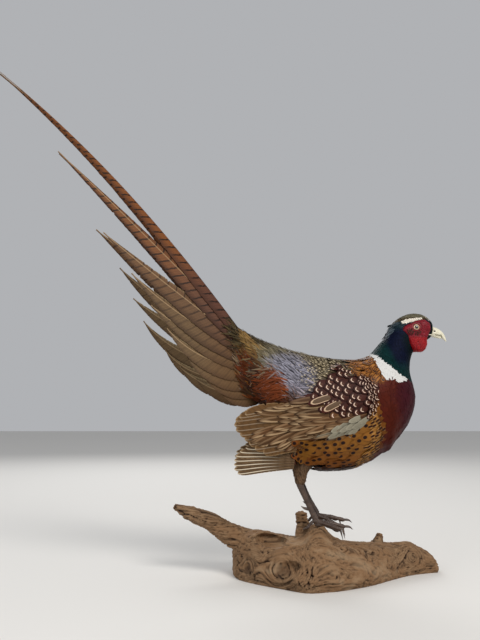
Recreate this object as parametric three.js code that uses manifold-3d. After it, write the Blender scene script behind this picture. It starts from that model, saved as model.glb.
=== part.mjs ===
// Cock ring-necked pheasant mounted on a piece of driftwood, life size.
// Millimetres, +Z up. The bird faces +X, and its left side is +Y.
// The origin lies on the flat underside of the driftwood, below the bird's centre of gravity.
// Flesh and coat are solid lofts, parted by thin cuts, and each long tail feather is a solid vane.
import * as THREE from "three";
import { mergeVertices } from "three/addons/utils/BufferGeometryUtils.js";
import Module from "manifold-3d";

const wasm = await Module();
wasm.setup();

// ---------------------------------------------------------------- sizes
const GAP = 0.35; // clearance between neighbouring solids
const SIMPLIFY = 0.08; // finest detail kept after solids are cut
const COAT_EXPONENT = 2.25; // roundness of the body's sections: 2 is an ellipse

// Stations from the rump to the face. Each section spans a back point and a belly point,
// [back x, back z, belly x, belly z, half width].
const STATIONS = [
  [-112, 315, -97, 232, 24],
  [-103, 308.5, -87, 220, 32],
  [-81, 298, -76, 207, 42],
  [-53, 287.5, -58, 171, 50],
  [-25, 281, -30, 137, 55],
  [5, 276, 4, 132, 57],
  [29, 273.5, 39, 136.5, 58],
  [46, 274.5, 72, 156, 56],
  [55.5, 278, 97.5, 182, 51],
  [59.5, 280.5, 110, 206, 45],
  [62, 283, 113.5, 226, 38],
  [65, 286.5, 110.5, 244, 31],
  [69.5, 291.5, 108.5, 257, 26],
  [75, 298.5, 109.5, 269, 23],
  [80.5, 306, 112, 278, 20.5],
  [85.5, 315, 115, 284.5, 18.5],
  [91, 322.5, 119, 290, 17.5],
  [100, 329.2, 123.5, 294, 17.5],
  [112, 333.9, 128.5, 297, 17],
  [125, 333.6, 133.5, 299.5, 15],
  [135.5, 328.5, 138, 302, 11.5],
  [142, 319.5, 140.5, 305.5, 7],
];
const NECK_CUT = 11.2; // station where the trunk ends and the neck begins
const HEAD_CUT = 15.3; // station where the neck ends and the head begins
const SECTION_POINTS = 18;

const EYE = { x: 116.3, y: 14.4, z: 314, radius: 5.4, opening: 3.9 };

// Bare red face skin: a round pad round the eye and a lobe that hangs beside the chin.
const WATTLE_OUTLINE = [
  [98, 311], [104.5, 302.5], [108, 292], [113, 284.5], [120, 282], [127, 284.5],
  [130.5, 292], [130.8, 302.5], [135, 309], [135.5, 319], [125, 325.5], [107, 319.5],
];
const WATTLE_BULGE = 2.6; // how far the face skin stands proud of the head

const BILL_LENGTH = 19.5;
const BILL_TIP_DROP = 19; // the hooked tip lies this far below the top of the bill's base
const BILL_TOP = { x: 141.5, z: 317 };
const BILL_HALF_WIDTH = 6.2;

const WING_COAT = 7.5; // thickness of the folded wing over the flank
const WING_TOP = [[43, 246], [30, 258], [13, 265], [-10, 251], [-34, 228], [-56, 217]];
const WING_LOW = [[50, 224], [47, 203], [31, 190.5], [5, 179], [-25, 168.5], [-56, 159]];
const SECONDARIES_TOP = [[-56.8, 216], [-75, 212], [-95, 205.5], [-112, 198.5]];
const SECONDARIES_LOW = [[-56.8, 161], [-72, 163.5], [-88, 167], [-101, 172]];
const SECONDARIES_TIP_X = -117;
const PRIMARIES_TOP = [[-34, 155], [-58, 158], [-80, 163], [-100, 166]];
const PRIMARIES_LOW = [[-39, 136], [-66, 132], [-88, 129.5], [-108, 132]];
const PRIMARIES_TIP_X = -117;
const WING_REAR_Y = 46; // the folded wing tips lie this far from the middle plane
const FLIGHT_THICKNESS = 1.6;
const FLIGHT_STACK = 3.4; // the primaries lie this far inside the secondaries

// Tail: nine feathers a side, from the middle pair outwards, roofed over a ridge.
const TAIL_YAW = THREE.MathUtils.degToRad(8.9); // the whole tail swings to the bird's right
const TAIL_ROOT = new THREE.Vector3(-106, 0, 303.4);
const TAIL_LENGTH = [471.5, 342.7, 234.5, 184.4, 149.2, 127.8, 103.5, 83.7, 60.7];
const TAIL_ROOT_ANGLE = [53.1, 45.5, 34.5, 23.6, 19, 4.5, -4.8, -6.8, -7.6]; // above level, degrees
const TAIL_TIP_ANGLE = [38.4, 43.7, 42.1, 47.8, 43, 54.5, 57, 53.6, 46.9];
const TAIL_BEND = 1.33; // above 1 the bend gathers towards the tip
const TAIL_STEP = { forward: 2.06, down: 9.9 }; // from one quill to the next down the rump
const TAIL_ROOF = { round: 8, slope: 0.48, above: 2 }; // ridge radius, side slope, ridge over quill
const TAIL_STACK = 1.5; // each pair lies this far under the pair before it
const TAIL_LEFT_LIFT = [0, 1.7, 3.4, 4.2, 4.2, 3.2, 0, 0, 6]; // the left side spreads more, degrees
const TAIL_LEFT_LONGER = [1, 1.03, 1.1, 1.14, 1.2, 1.27, 1.22, 1.25, 1.35];
const VANE_THICKNESS = 0.8;
const VANE_HALF_WIDTH = [15, 14.5, 14, 13.5, 13, 12.5, 12, 11.5, 11];

// Legs: hock, foot joint and toe tips of the right and left leg.
const LEGS = [
  { side: "right", y: -1, hip: [-33, -17, 166], hock: [-36, -24, 117], joint: [-17.5, -22, 74.5] },
  { side: "left", y: 1, hip: [-27, 17, 166], hock: [-31, 23, 117], joint: [-11, 21, 75.5] },
];
const THIGH_RADIUS = 15;
const SHANK_RADIUS = 3.7;
const SPUR_LENGTH = 9;
// Each toe: reach along X and Y from the foot joint, drop of the tip, radius at the root.
const TOES = [
  { name: "inner", reach: 29, splay: -8, drop: 13.5, radius: 2.7 },
  { name: "middle", reach: 36, splay: 1, drop: 7, radius: 3.0 },
  { name: "outer", reach: 28, splay: 12, drop: 8, radius: 2.6 },
  { name: "hind", reach: -11, splay: 3, drop: 8.5, radius: 2.2 },
];
const CLAW_LENGTH = 10;

// Driftwood: [x, front y, back y, top z] along the length.
const WOOD = [
  [-119, 26, 56, 34], [-112, -2, 63, 50], [-90, -25, 69, 58], [-62, -46, 72, 54],
  [-38, -64, 74, 52], [-24, -66, 75, 60], [-10, -62, 75, 59], [4, -58, 74, 51],
  [22, -48, 73, 45], [49, -31, 72, 42], [85, 2, 70, 38.5], [108, 20, 67, 38],
  [126, 29, 62, 31], [140, 34, 57, 22], [148, 38, 54, 14],
];
// Outline of a section, from the front foot over the top to the back foot: [across, height].
const WOOD_SECTION = [
  [0.02, 0], [-0.01, 0.22], [0.02, 0.46], [0.08, 0.72], [0.19, 0.92], [0.35, 1],
  [0.55, 0.97], [0.75, 0.86], [0.91, 0.64], [0.99, 0.36], [0.98, 0], [0.66, 0], [0.33, 0],
];
const WOOD_LUMP = 2.2; // height of the knots and swells
// Branch stumps as round tubes, each sunk into the block.
const HORN = {
  points: [[-196, 22, 85.5], [-176, 21, 78], [-148, 20, 66.5], [-120, 22, 50], [-92, 26, 36]],
  radii: [4.2, 9, 12, 15, 18],
};
const STUB = {
  points: [[-33.5, 2, 81], [-33, 2, 75], [-31.5, 1, 64], [-30, 0, 50]],
  radii: [6.4, 7.4, 9, 12],
};
const KNOB = { points: [[72.5, 38, 50], [72, 38, 45], [69, 38, 34]], radii: [3.6, 6, 9] };
const HOLLOWS = [
  { at: [-72, -14, 50], size: [21, 24, 9], tilt: 0.12 },
  { at: [-64, -52, 25], size: [27, 10, 10], tilt: -0.08 },
  { at: [-103, -16, 19], size: [3.6, 9, 3.6], tilt: 0 },
];

const COLOURS = {
  chestnut: "#6a2f22", neck: "#10303a", head: "#2b3a34", red: "#b01226", bill: "#dcd8ae",
  eye: "#2a1a08", wing: "#8f7650", tail: "#8a6a44", leg: "#7a6a6a", horn: "#cfc8b4",
  thigh: "#3c2a1e", wood: "#9c7c56",
};

// ---------------------------------------------------------------- helpers
const group = new THREE.Group();

function add(name, geometry, colour, roughness = 0.7) {
  const material = new THREE.MeshStandardMaterial({ color: colour, roughness, metalness: 0 });
  const mesh = new THREE.Mesh(geometry, material);
  mesh.name = name;
  group.add(mesh);
}

// Closed surface through rings of points, with each end closed by a fan.
function loft(rings) {
  const count = rings[0].length;
  const positions = rings.flat().flatMap((p) => [p.x, p.y, p.z]);
  const index = [];
  for (let r = 0; r + 1 < rings.length; r++)
    for (let k = 0; k < count; k++) {
      const a = r * count + k;
      const b = r * count + ((k + 1) % count);
      index.push(a, b, a + count, b, b + count, a + count);
    }
  for (const [ring, first] of [[rings[0], 0], [rings.at(-1), (rings.length - 1) * count]]) {
    const middle = new THREE.Vector3();
    ring.forEach((p) => middle.add(p));
    middle.divideScalar(count);
    const at = positions.length / 3;
    positions.push(middle.x, middle.y, middle.z);
    for (let k = 0; k < count; k++) {
      const next = (k + 1) % count;
      if (first === 0) index.push(at, first + next, first + k);
      else index.push(at, first + k, first + next);
    }
  }
  const geometry = new THREE.BufferGeometry();
  geometry.setAttribute("position", new THREE.Float32BufferAttribute(positions, 3));
  geometry.setIndex(index);
  return facingOut(geometry);
}

function volumeOf(geometry) {
  const p = geometry.attributes.position;
  const [a, b, c] = [new THREE.Vector3(), new THREE.Vector3(), new THREE.Vector3()];
  let volume = 0;
  for (let i = 0; i < geometry.index.count; i += 3) {
    a.fromBufferAttribute(p, geometry.index.getX(i));
    b.fromBufferAttribute(p, geometry.index.getX(i + 1));
    c.fromBufferAttribute(p, geometry.index.getX(i + 2));
    volume += a.dot(b.cross(c)) / 6;
  }
  return volume;
}

function facingOut(geometry) {
  if (volumeOf(geometry) < 0) geometry.setIndex(Array.from(geometry.index.array).reverse());
  return geometry;
}

function solid(geometry) {
  const bare = new THREE.BufferGeometry();
  bare.setAttribute("position", geometry.attributes.position.clone());
  if (geometry.index) bare.setIndex(geometry.index.clone());
  const merged = mergeVertices(bare, 1e-4);
  return new wasm.Manifold(new wasm.Mesh({
    numProp: 3,
    vertProperties: new Float32Array(merged.attributes.position.array),
    triVerts: new Uint32Array(merged.index.array),
  }));
}

// The largest piece of a solid, as a geometry.
function geometryOf(manifold, detail = SIMPLIFY) {
  const pieces = manifold.simplify(detail).decompose().sort((a, b) => b.volume() - a.volume());
  const mesh = pieces[0].getMesh();
  const geometry = new THREE.BufferGeometry();
  geometry.setAttribute("position", new THREE.BufferAttribute(new Float32Array(mesh.vertProperties), 3));
  geometry.setIndex(new THREE.BufferAttribute(new Uint32Array(mesh.triVerts), 1));
  return geometry;
}

// Smooth value of a table of rows at a fractional row number.
function smoothRow(rows, at) {
  const last = rows.length - 1;
  const i = Math.min(Math.floor(at), last - 1);
  const t = at - i;
  const row = (k) => rows[Math.max(0, Math.min(last, k))];
  return rows[0].map((_, c) => {
    const [p, q, r, s] = [row(i - 1)[c], row(i)[c], row(i + 1)[c], row(i + 2)[c]];
    return q + 0.5 * t * (r - p + t * (2 * p - 5 * q + 4 * r - s + t * (3 * (q - r) + s - p)));
  });
}

const steps = (from, to, count) =>
  Array.from({ length: count + 1 }, (_, i) => from + ((to - from) * i) / count);
const vector = (p) => new THREE.Vector3(...p);

// ---------------------------------------------------------------- body, neck and head
function section(station, grow = 0) {
  const [backX, backZ, bellyX, bellyZ, half] = smoothRow(STATIONS, station);
  const back = new THREE.Vector3(backX, 0, backZ);
  const belly = new THREE.Vector3(bellyX, 0, bellyZ);
  const middle = back.clone().add(belly).multiplyScalar(0.5);
  const up = back.clone().sub(belly);
  const reach = up.length() / 2 + grow;
  up.normalize();
  return { middle, up, reach, half: half + grow };
}

function bodyRing(station, grow = 0) {
  const { middle, up, reach, half } = section(station, grow);
  return Array.from({ length: SECTION_POINTS }, (_, k) => {
    const angle = (2 * Math.PI * k) / SECTION_POINTS;
    const power = 2 / COAT_EXPONENT;
    const [c, s] = [Math.cos(angle), Math.sin(angle)];
    const point = middle.clone().addScaledVector(up, reach * Math.sign(c) * Math.abs(c) ** power);
    point.y = half * Math.sign(s) * Math.abs(s) ** power;
    return point;
  });
}

const bodyLoft = (from, to, count, grow = 0) => loft(steps(from, to, count).map((s) => bodyRing(s, grow)));

// Half width of the trunk where a sideways line through (x, z) leaves it, or 0 outside.
function flankY(x, z) {
  let widest = 0;
  for (let at = 0; at < 12; at += 0.05) {
    const { middle, up, reach, half } = section(at);
    const along = (x - middle.x) * up.x + (z - middle.z) * up.z;
    const off = Math.abs((x - middle.x) * up.z - (z - middle.z) * up.x);
    const share = Math.abs(along) / reach;
    if (off > 1.6 || share >= 1) continue;
    widest = Math.max(widest, half * (1 - share ** COAT_EXPONENT) ** (1 / COAT_EXPONENT));
  }
  return widest;
}

const LAST = STATIONS.length - 1;
const CUT = 0.05; // stations left out at each cut
const trunk = solid(bodyLoft(0, NECK_CUT, 19));
const trunkRoom = solid(bodyLoft(0, NECK_CUT, 19, GAP));
const neck = solid(bodyLoft(NECK_CUT + CUT, HEAD_CUT, 6));
let head = solid(bodyLoft(HEAD_CUT + CUT, LAST, 9));
const headRoom = solid(bodyLoft(HEAD_CUT + CUT, LAST, 9, GAP));
const neckRoom = solid(bodyLoft(NECK_CUT + CUT, HEAD_CUT + CUT, 6, GAP));

const eyeBall = (side, radius) =>
  solid(new THREE.SphereGeometry(radius, 11, 8).translate(EYE.x, side * EYE.y, EYE.z));

// The face pad: the outline swept sideways, narrower towards its outer face.
const WATTLE_POINTS = 16;
function wattle(side) {
  const size = WATTLE_OUTLINE.length;
  const middleX = WATTLE_OUTLINE.reduce((sum, p) => sum + p[0] / size, 0);
  const middleZ = WATTLE_OUTLINE.reduce((sum, p) => sum + p[1] / size, 0);
  const closed = [...WATTLE_OUTLINE, WATTLE_OUTLINE[0]];
  const layer = (y, shrink) => Array.from({ length: WATTLE_POINTS }, (_, k) => {
    const [x, z] = smoothRow(closed, (k * size) / WATTLE_POINTS);
    const [dx, dz] = [(x - middleX) * shrink, (z - middleZ) * shrink];
    return new THREE.Vector3(middleX + dx, side * y, middleZ + dz);
  });
  const outer = 17 + WATTLE_BULGE;
  return solid(loft([layer(9, 0.96), layer(14, 1), layer(outer - 1.6, 0.97), layer(outer, 0.84)]));
}

for (const [side, name] of [[-1, "right"], [1, "left"]]) {
  const globe = eyeBall(side, EYE.radius);
  const socket = eyeBall(side, EYE.radius + GAP);
  const lids = new THREE.CylinderGeometry(EYE.opening, EYE.opening, 12, 14);
  const window = solid(lids.translate(EYE.x, side * (EYE.y + 6.6), EYE.z));
  head = head.subtract(socket);
  const pad = wattle(side).subtract(headRoom).subtract(neckRoom).subtract(socket).subtract(window);
  add("wattle_" + name, geometryOf(pad), COLOURS.red, 0.6);
  add("eye_" + name, geometryOf(globe), COLOURS.eye, 0.1);
}

// ---------------------------------------------------------------- bill
// Each half is a loft from the face to the tip. The upper half hooks over the lower.
function billHalf(upper) {
  // The hook starts where the lower half ends.
  const stations = upper ? [0, 0.14, 0.28, 0.42, 0.56, 0.7, 0.76, 0.88, 1] : steps(0, 1, 8);
  const rings = stations.map((t) => {
    const length = upper ? BILL_LENGTH : BILL_LENGTH * 0.8;
    const x = BILL_TOP.x - (upper ? 1.4 : 3.4) + length * t;
    // The ridge falls gently at first, then turns down into the hook.
    const top = BILL_TOP.z - BILL_TIP_DROP * (0.6 * t ** 1.8 + 0.4 * t ** 10);
    const hook = upper && t > 0.7 ? 4.2 + 3.9 * (t - 0.76) / 0.24 : 0;
    const gape = BILL_TOP.z - 10.4 - 1.2 * t - hook;
    const keel = BILL_TOP.z - 12 - 3.7 * (1 - (1 - t) ** 2);
    const [high, low] = upper ? [top, gape] : [gape - 0.35, keel];
    const middle = (high + low) / 2;
    const tall = Math.max(0.35, (high - low) / 2);
    const half = BILL_HALF_WIDTH * (upper ? 1 : 0.86) * (1 - 0.93 * t ** 1.5);
    return Array.from({ length: 12 }, (_, k) => {
      const angle = (2 * Math.PI * k) / 12;
      return new THREE.Vector3(x, half * Math.sin(angle), middle + tall * Math.cos(angle));
    });
  });
  return solid(loft(rings)).subtract(headRoom);
}
add("bill_upper", geometryOf(billHalf(true)), COLOURS.bill, 0.35);
add("bill_lower", geometryOf(billHalf(false)), COLOURS.bill, 0.35);

// ---------------------------------------------------------------- wings
// The outer face of the folded wing: on the flank, and free behind it.
function wingY(x, z, rise = 1) {
  const rear = WING_REAR_Y + 0.13 * (x + 117) - Math.max(0, x + 50);
  return Math.max(flankY(x, z) + WING_COAT * rise, rear);
}

// A sheet between an upper and a lower edge. Its outer face is given by depth(x, z, rise),
// where rise is 1 at full coat. A sheet with a tip is drawn out to it at its rear end.
function sheet({ side, top, low, depth, thickness, across, along, tipX }) {
  const point = (p, q, inner) => {
    const a = smoothRow(top, p * (top.length - 1));
    const b = smoothRow(low, p * (low.length - 1));
    let x = a[0] + (b[0] - a[0]) * q;
    const z = a[1] + (b[1] - a[1]) * q;
    if (tipX) x += (tipX - x) * p ** 6 * Math.sin(Math.PI * (0.12 + 0.76 * q));
    // Full coat along the back, thinner along the front and lower edges.
    const rise = Math.min(1, 0.55 + 3 * (1 - q), tipX ? 1 : 0.7 + 3 * p);
    return new THREE.Vector3(x, side * (depth(x, z, rise) - (inner ? thickness : 0)), z);
  };
  const rings = steps(0, 1, along).map((p) => [
    ...steps(0, 1, across).map((q) => point(p, q, false)),
    ...steps(1, 0, across).map((q) => point(p, q, true)),
  ]);
  return solid(loft(rings));
}

const primariesY = (x, z) => wingY(x, z) - WING_COAT * 0.55 - FLIGHT_STACK;
for (const [side, name] of [[-1, "right"], [1, "left"]]) {
  const arm = sheet({
    side, top: WING_TOP, low: WING_LOW, depth: wingY,
    thickness: WING_COAT + 4, across: 7, along: 10,
  });
  const secondaries = sheet({
    side, top: SECONDARIES_TOP, low: SECONDARIES_LOW, depth: (x, z) => wingY(x, z),
    thickness: FLIGHT_THICKNESS * 1.6, across: 7, along: 8, tipX: SECONDARIES_TIP_X,
  });
  const primaries = sheet({
    side, top: PRIMARIES_TOP, low: PRIMARIES_LOW, depth: primariesY,
    thickness: FLIGHT_THICKNESS, across: 6, along: 10, tipX: PRIMARIES_TIP_X,
  });
  add("wing_" + name, geometryOf(arm.subtract(trunkRoom)), COLOURS.wing);
  add("secondaries_" + name, geometryOf(secondaries.subtract(trunkRoom)), COLOURS.wing);
  add("primaries_" + name, geometryOf(primaries.subtract(trunkRoom).subtract(arm)), COLOURS.wing);
}

// ---------------------------------------------------------------- tail
// Tail frame: u runs back from the root, v to the bird's left.
const tailBack = new THREE.Vector3(-Math.cos(TAIL_YAW), -Math.sin(TAIL_YAW), 0);
const tailLeft = new THREE.Vector3(-Math.sin(TAIL_YAW), Math.cos(TAIL_YAW), 0);

// Quill of one feather as points [u, z, angle] from root to tip.
function quill(pair, side, count) {
  const length = TAIL_LENGTH[pair] * (side > 0 ? TAIL_LEFT_LONGER[pair] : 1);
  const root = TAIL_ROOT_ANGLE[pair] + (side > 0 ? TAIL_LEFT_LIFT[pair] : 0);
  const bend = TAIL_TIP_ANGLE[pair] - root;
  let [u, z] = [-TAIL_STEP.forward * pair, -TAIL_STEP.down * pair];
  return steps(0, 1, count).map((t, i) => {
    const angle = THREE.MathUtils.degToRad(root + bend * t ** TAIL_BEND);
    if (i > 0) {
      u += (Math.cos(angle) * length) / count;
      z += (Math.sin(angle) * length) / count;
    }
    return [u, z, angle];
  });
}

// The ridge of the roof runs just above the quill of the middle pair.
// Gives how far a point lies below the ridge, and the ridge's angle there.
const ridge = quill(0, -1, 40);
function underRidge(u, z) {
  const after = ridge.findIndex((p) => p[0] > u);
  const end = after < 0 ? ridge.length - 1 : Math.max(1, after);
  const [a, b] = [ridge[end - 1], ridge[end]];
  const share = (u - a[0]) / (b[0] - a[0]);
  const angle = a[2] + (b[2] - a[2]) * share;
  return [(a[1] + (b[1] - a[1]) * share - z) * Math.cos(a[2]) + TAIL_ROOF.above, angle];
}

// Half width of the roof at a depth below the ridge: round at the top, then straight.
function roofHalf(depth) {
  const { round, slope } = TAIL_ROOF;
  const turn = round * 0.59;
  if (depth < turn) return Math.sqrt(2 * round * depth - depth * depth);
  return round * 0.912 + slope * (depth - turn);
}

function tailFeather(pair, side) {
  const count = Math.max(6, Math.round(TAIL_LENGTH[pair] / 36));
  const rings = quill(pair, side, count).map(([u, z, angle], i) => {
    const t = i / count;
    const swell = 0.6 + 0.4 * Math.sin(Math.PI * Math.min(0.5, 0.1 + t * 1.3));
    const wide = pair < 2 ? 0.15 : 0.35; // where the vane starts to narrow
    const taper = Math.max(0.06, 1 - (Math.max(0, t - wide) / (1 - wide)) ** (pair < 2 ? 1 : 1.3));
    const half = VANE_HALF_WIDTH[pair] * swell * taper;
    const place = (q, lift) => {
      let [pu, pz] = [u + Math.sin(angle) * q * half, z - Math.cos(angle) * q * half];
      const [depth, lean] = underRidge(pu, pz);
      const short = Math.max(0, 0.4 + 3.5 * pair - depth);
      pu += Math.sin(lean) * short;
      pz -= Math.cos(lean) * short;
      const v = roofHalf(depth + short) - TAIL_STACK * pair + lift;
      return TAIL_ROOT.clone()
        .addScaledVector(tailBack, pu)
        .addScaledVector(tailLeft, side * Math.max(0.4, v))
        .add(new THREE.Vector3(0, 0, pz));
    };
    const thick = VANE_THICKNESS / 2;
    return [
      place(-1, -thick * 0.7), place(0, -thick), place(1, -thick * 0.7),
      place(1, thick * 0.7), place(0, thick), place(-1, thick * 0.7),
    ];
  });
  return solid(loft(rings));
}
for (const [side, name] of [[-1, "right"], [1, "left"]])
  TAIL_LENGTH.forEach((_, pair) => {
    const feather = tailFeather(pair, side).subtract(trunkRoom);
    add(`tail_${name}_${pair + 1}`, geometryOf(feather), COLOURS.tail);
  });

// ---------------------------------------------------------------- legs
// Round tube through points, with a radius at each.
function tube(points, radii, around = 8, count = 8) {
  const curve = new THREE.CatmullRomCurve3(points.map(vector));
  const sizes = radii.map((r) => [r]);
  const rings = steps(0, 1, count).map((t) => {
    const centre = curve.getPoint(t);
    const tangent = curve.getTangent(t);
    const sideways = new THREE.Vector3(0, 1, 0).cross(tangent).normalize();
    const upward = tangent.clone().cross(sideways);
    const [radius] = smoothRow(sizes, t * (sizes.length - 1));
    return Array.from({ length: around }, (_, k) => {
      const angle = (2 * Math.PI * (k + 0.5)) / around;
      return centre.clone()
        .addScaledVector(sideways, radius * Math.cos(angle))
        .addScaledVector(upward, radius * Math.sin(angle));
    });
  });
  return solid(loft(rings));
}

const halfway = (a, b, lift = [0, 0, 0]) => a.map((v, i) => (v + b[i]) / 2 + lift[i]);
const joined = (solids) => solids.reduce((whole, part) => whole.add(part));

function shankTube(leg, grow) {
  const bottom = [leg.joint[0], leg.joint[1], leg.joint[2] + 4];
  const bend = halfway(leg.hock, leg.joint, [-0.6, 0, 0]);
  const radii = [1.15, 0.86, 1.05].map((share) => SHANK_RADIUS * share + grow);
  return tube([leg.hock, bend, bottom], radii, 8, 5);
}

function thighTube(leg) {
  const [x, y, z] = leg.hock;
  const middle = halfway(leg.hip, leg.hock, [-1, 0, 0]);
  const radii = [THIGH_RADIUS, THIGH_RADIUS * 0.72, SHANK_RADIUS + 1.6];
  return tube([leg.hip, middle, [x + 0.6, y, z + 1]], radii, 10, 5);
}

function spurTube(leg) {
  const [x, y, z] = leg.hock.map((v, i) => (v + 2 * leg.joint[i]) / 3);
  const root = [x - 2, y, z];
  const bend = [root[0] - SPUR_LENGTH * 0.55, y - leg.y * 1.5, z + 0.6];
  const tip = [root[0] - SPUR_LENGTH, y - leg.y * 2.4, z + 3];
  return tube([root, bend, tip], [2.1, 1.3, 0.35], 6, 4);
}

// One toe and the claw at its tip.
function toeAndClaw(leg, toe) {
  const [x, y, z] = leg.joint;
  const hind = toe.name === "hind";
  const ahead = Math.sign(toe.reach);
  const root = [x + 0.5, y + toe.splay * 0.1, z + (hind ? 2 : -1)];
  const tip = [x + toe.reach, y + leg.y * toe.splay, z - toe.drop];
  const radii = [1.1, 0.86, 0.72].map((share) => toe.radius * share);
  const length = CLAW_LENGTH * (hind ? 0.6 : 1);
  const aside = leg.y * toe.splay;
  const nail = [
    [tip[0] - ahead * 1.2, tip[1], tip[2] + 0.4],
    [tip[0] + ahead * length * 0.5, tip[1] + aside * 0.08, tip[2] - 0.2],
    [tip[0] + ahead * length * 0.92, tip[1] + aside * 0.14, tip[2] - length * 0.34],
  ];
  return {
    name: toe.name,
    ahead,
    toe: tube([root, halfway(root, tip, [0, 0, 0.8]), tip], radii, 6, 3),
    claw: tube(nail, [toe.radius * 0.62, toe.radius * 0.5, 0.3], 6, 3),
  };
}

const ball = (radius) => new THREE.SphereGeometry(radius, 8, 6);
const footParts = [];
for (const leg of LEGS) {
  const [x, y, z] = leg.joint;
  const shankRoom = shankTube(leg, GAP);
  const toes = TOES.map((toe) => toeAndClaw(leg, toe));
  const knuckle = solid(ball(SHANK_RADIUS * 1.15).translate(x, y, z));
  const pad = solid(ball(4).scale(1.5, 1.1, 0.8).translate(x + 4, y, z - 4.2));
  const toesOnly = joined([knuckle, ...toes.map((t) => t.toe)]);
  const foot = toesOnly.add(pad).subtract(shankRoom);
  const thigh = thighTube(leg).subtract(trunkRoom).subtract(shankRoom);
  add("thigh_" + leg.side, geometryOf(thigh), COLOURS.thigh);
  add("shank_" + leg.side, geometryOf(shankTube(leg, 0)), COLOURS.leg, 0.5);
  add("foot_" + leg.side, geometryOf(foot), COLOURS.leg, 0.5);
  add("spur_" + leg.side, geometryOf(spurTube(leg).subtract(shankRoom)), COLOURS.horn, 0.4);
  footParts.push(foot);
  for (const { name, ahead, claw } of toes) {
    const toeRoom = toesOnly.add(toesOnly.translate(0.25 * ahead, 0, 0));
    const nail = claw.subtract(toeRoom);
    add(`claw_${leg.side}_${name}`, geometryOf(nail), COLOURS.horn, 0.4);
    footParts.push(nail);
  }
}

add("trunk", geometryOf(trunk), COLOURS.chestnut);
add("neck", geometryOf(neck), COLOURS.neck, 0.4);
add("head", geometryOf(head), COLOURS.head);

// ---------------------------------------------------------------- driftwood
function lump(x, y, z) {
  const swell = Math.sin(x * 0.11 + z * 0.05) * Math.cos(y * 0.09 - z * 0.07);
  return WOOD_LUMP * (swell + 0.5 * Math.sin(x * 0.23 + y * 0.19));
}

const woodRings = steps(0, 1, 26).map((t) => {
  const [x, front, back, top] = smoothRow(WOOD, t * (WOOD.length - 1));
  return WOOD_SECTION.map(([across, height]) => {
    const [y, z] = [front + (back - front) * across, top * height];
    const rough = height > 0 ? lump(x, y, z) : 0;
    const out = across < 0.5 ? -1 : 1;
    const spread = height < 0.9 ? out * rough : 0;
    return new THREE.Vector3(x, y + spread, height > 0.6 ? z + rough * 0.5 : z);
  });
});
const branches = [
  tube(HORN.points, HORN.radii, 10, 9),
  tube(STUB.points, STUB.radii, 9, 5),
  tube(KNOB.points, KNOB.radii, 7, 4),
];
let wood = joined([solid(loft(woodRings)), ...branches]);
for (const { at, size, tilt } of HOLLOWS) {
  const bowl = new THREE.SphereGeometry(1, 10, 8).scale(...size).rotateY(tilt).translate(...at);
  wood = wood.subtract(solid(bowl));
}
// Each foot part keeps its clearance from the wood, below it and on each side.
const SHIFTS = [[0, 0, 0], [0, 0, -GAP], [GAP, 0, 0], [-GAP, 0, 0], [0, GAP, 0], [0, -GAP, 0]];
for (const part of footParts)
  for (const shift of SHIFTS) wood = wood.subtract(part.translate(...shift));
for (const leg of LEGS) wood = wood.subtract(shankTube(leg, GAP));
add("driftwood", geometryOf(wood, 0.35), COLOURS.wood, 0.85);

export default group;
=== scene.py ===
import math

import bmesh
import bpy
import numpy as np
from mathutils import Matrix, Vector, noise
from mathutils.bvhtree import BVHTree


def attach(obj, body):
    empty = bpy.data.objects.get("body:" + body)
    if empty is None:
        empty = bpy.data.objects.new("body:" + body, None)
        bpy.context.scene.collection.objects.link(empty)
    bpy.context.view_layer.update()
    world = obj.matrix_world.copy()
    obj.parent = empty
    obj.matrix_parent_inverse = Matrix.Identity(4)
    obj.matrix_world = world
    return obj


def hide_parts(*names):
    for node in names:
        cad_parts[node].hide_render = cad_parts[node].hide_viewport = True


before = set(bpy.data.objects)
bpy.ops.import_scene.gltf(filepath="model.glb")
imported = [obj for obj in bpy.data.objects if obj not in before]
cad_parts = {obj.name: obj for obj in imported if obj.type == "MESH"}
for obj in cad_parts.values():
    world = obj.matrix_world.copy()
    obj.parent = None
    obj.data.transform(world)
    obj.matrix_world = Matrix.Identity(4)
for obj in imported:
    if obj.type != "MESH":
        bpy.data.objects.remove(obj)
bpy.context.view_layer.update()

# ---------------------------------------------------------------- driftwood
# A weathered root of pale wood with a flat sawn underside. Its fibres run along it and turn round
# the knots, softer wood between them is washed out, and the horn, stub and knob are broken branches.
MM = 0.001
# Where the wood swells up to each foot, as [x, y, rise].
FOOTHOLDS = [[-15.0, -22.0, 7.0], [-8.5, 21.0, 12.8]]
WOOD_CELL = 1.15
FIBRE_DEPTH = 1.5
SPLIT_DEPTH = 3.4
# Each knot turns the fibres round it: [x, y, z, reach].
KNOTS = [[-64, -52, 26, 30], [-33, -2, 60, 20], [-103, -16, 20, 13], [70, 36, 42, 15], [112, 22, 22, 16]]


def merged_copy(name, nodes, grow=0.0):
    """One mesh piece from copies of CAD nodes, each grown a little so that neighbours fuse."""
    bm = bmesh.new()
    for node in nodes:
        part = bmesh.new()
        part.from_mesh(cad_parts[node].data)
        bmesh.ops.remove_doubles(part, verts=part.verts, dist=1e-6)
        part.normal_update()
        for v in part.verts:
            v.co += v.normal * grow * MM
        mesh = bpy.data.meshes.new(name)
        part.to_mesh(mesh)
        part.free()
        bm.from_mesh(mesh)
        bpy.data.meshes.remove(mesh)
    mesh = bpy.data.meshes.new(name)
    bm.to_mesh(mesh)
    bm.free()
    piece = bpy.data.objects.new(name, mesh)
    bpy.context.scene.collection.objects.link(piece)
    return piece


def settle(piece):
    """Turns a piece's modifiers into plain mesh."""
    graph = bpy.context.evaluated_depsgraph_get()
    graph.update()
    plain = bpy.data.meshes.new_from_object(piece.evaluated_get(graph))
    piece.modifiers.clear()
    piece.data = plain
    return piece


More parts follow.
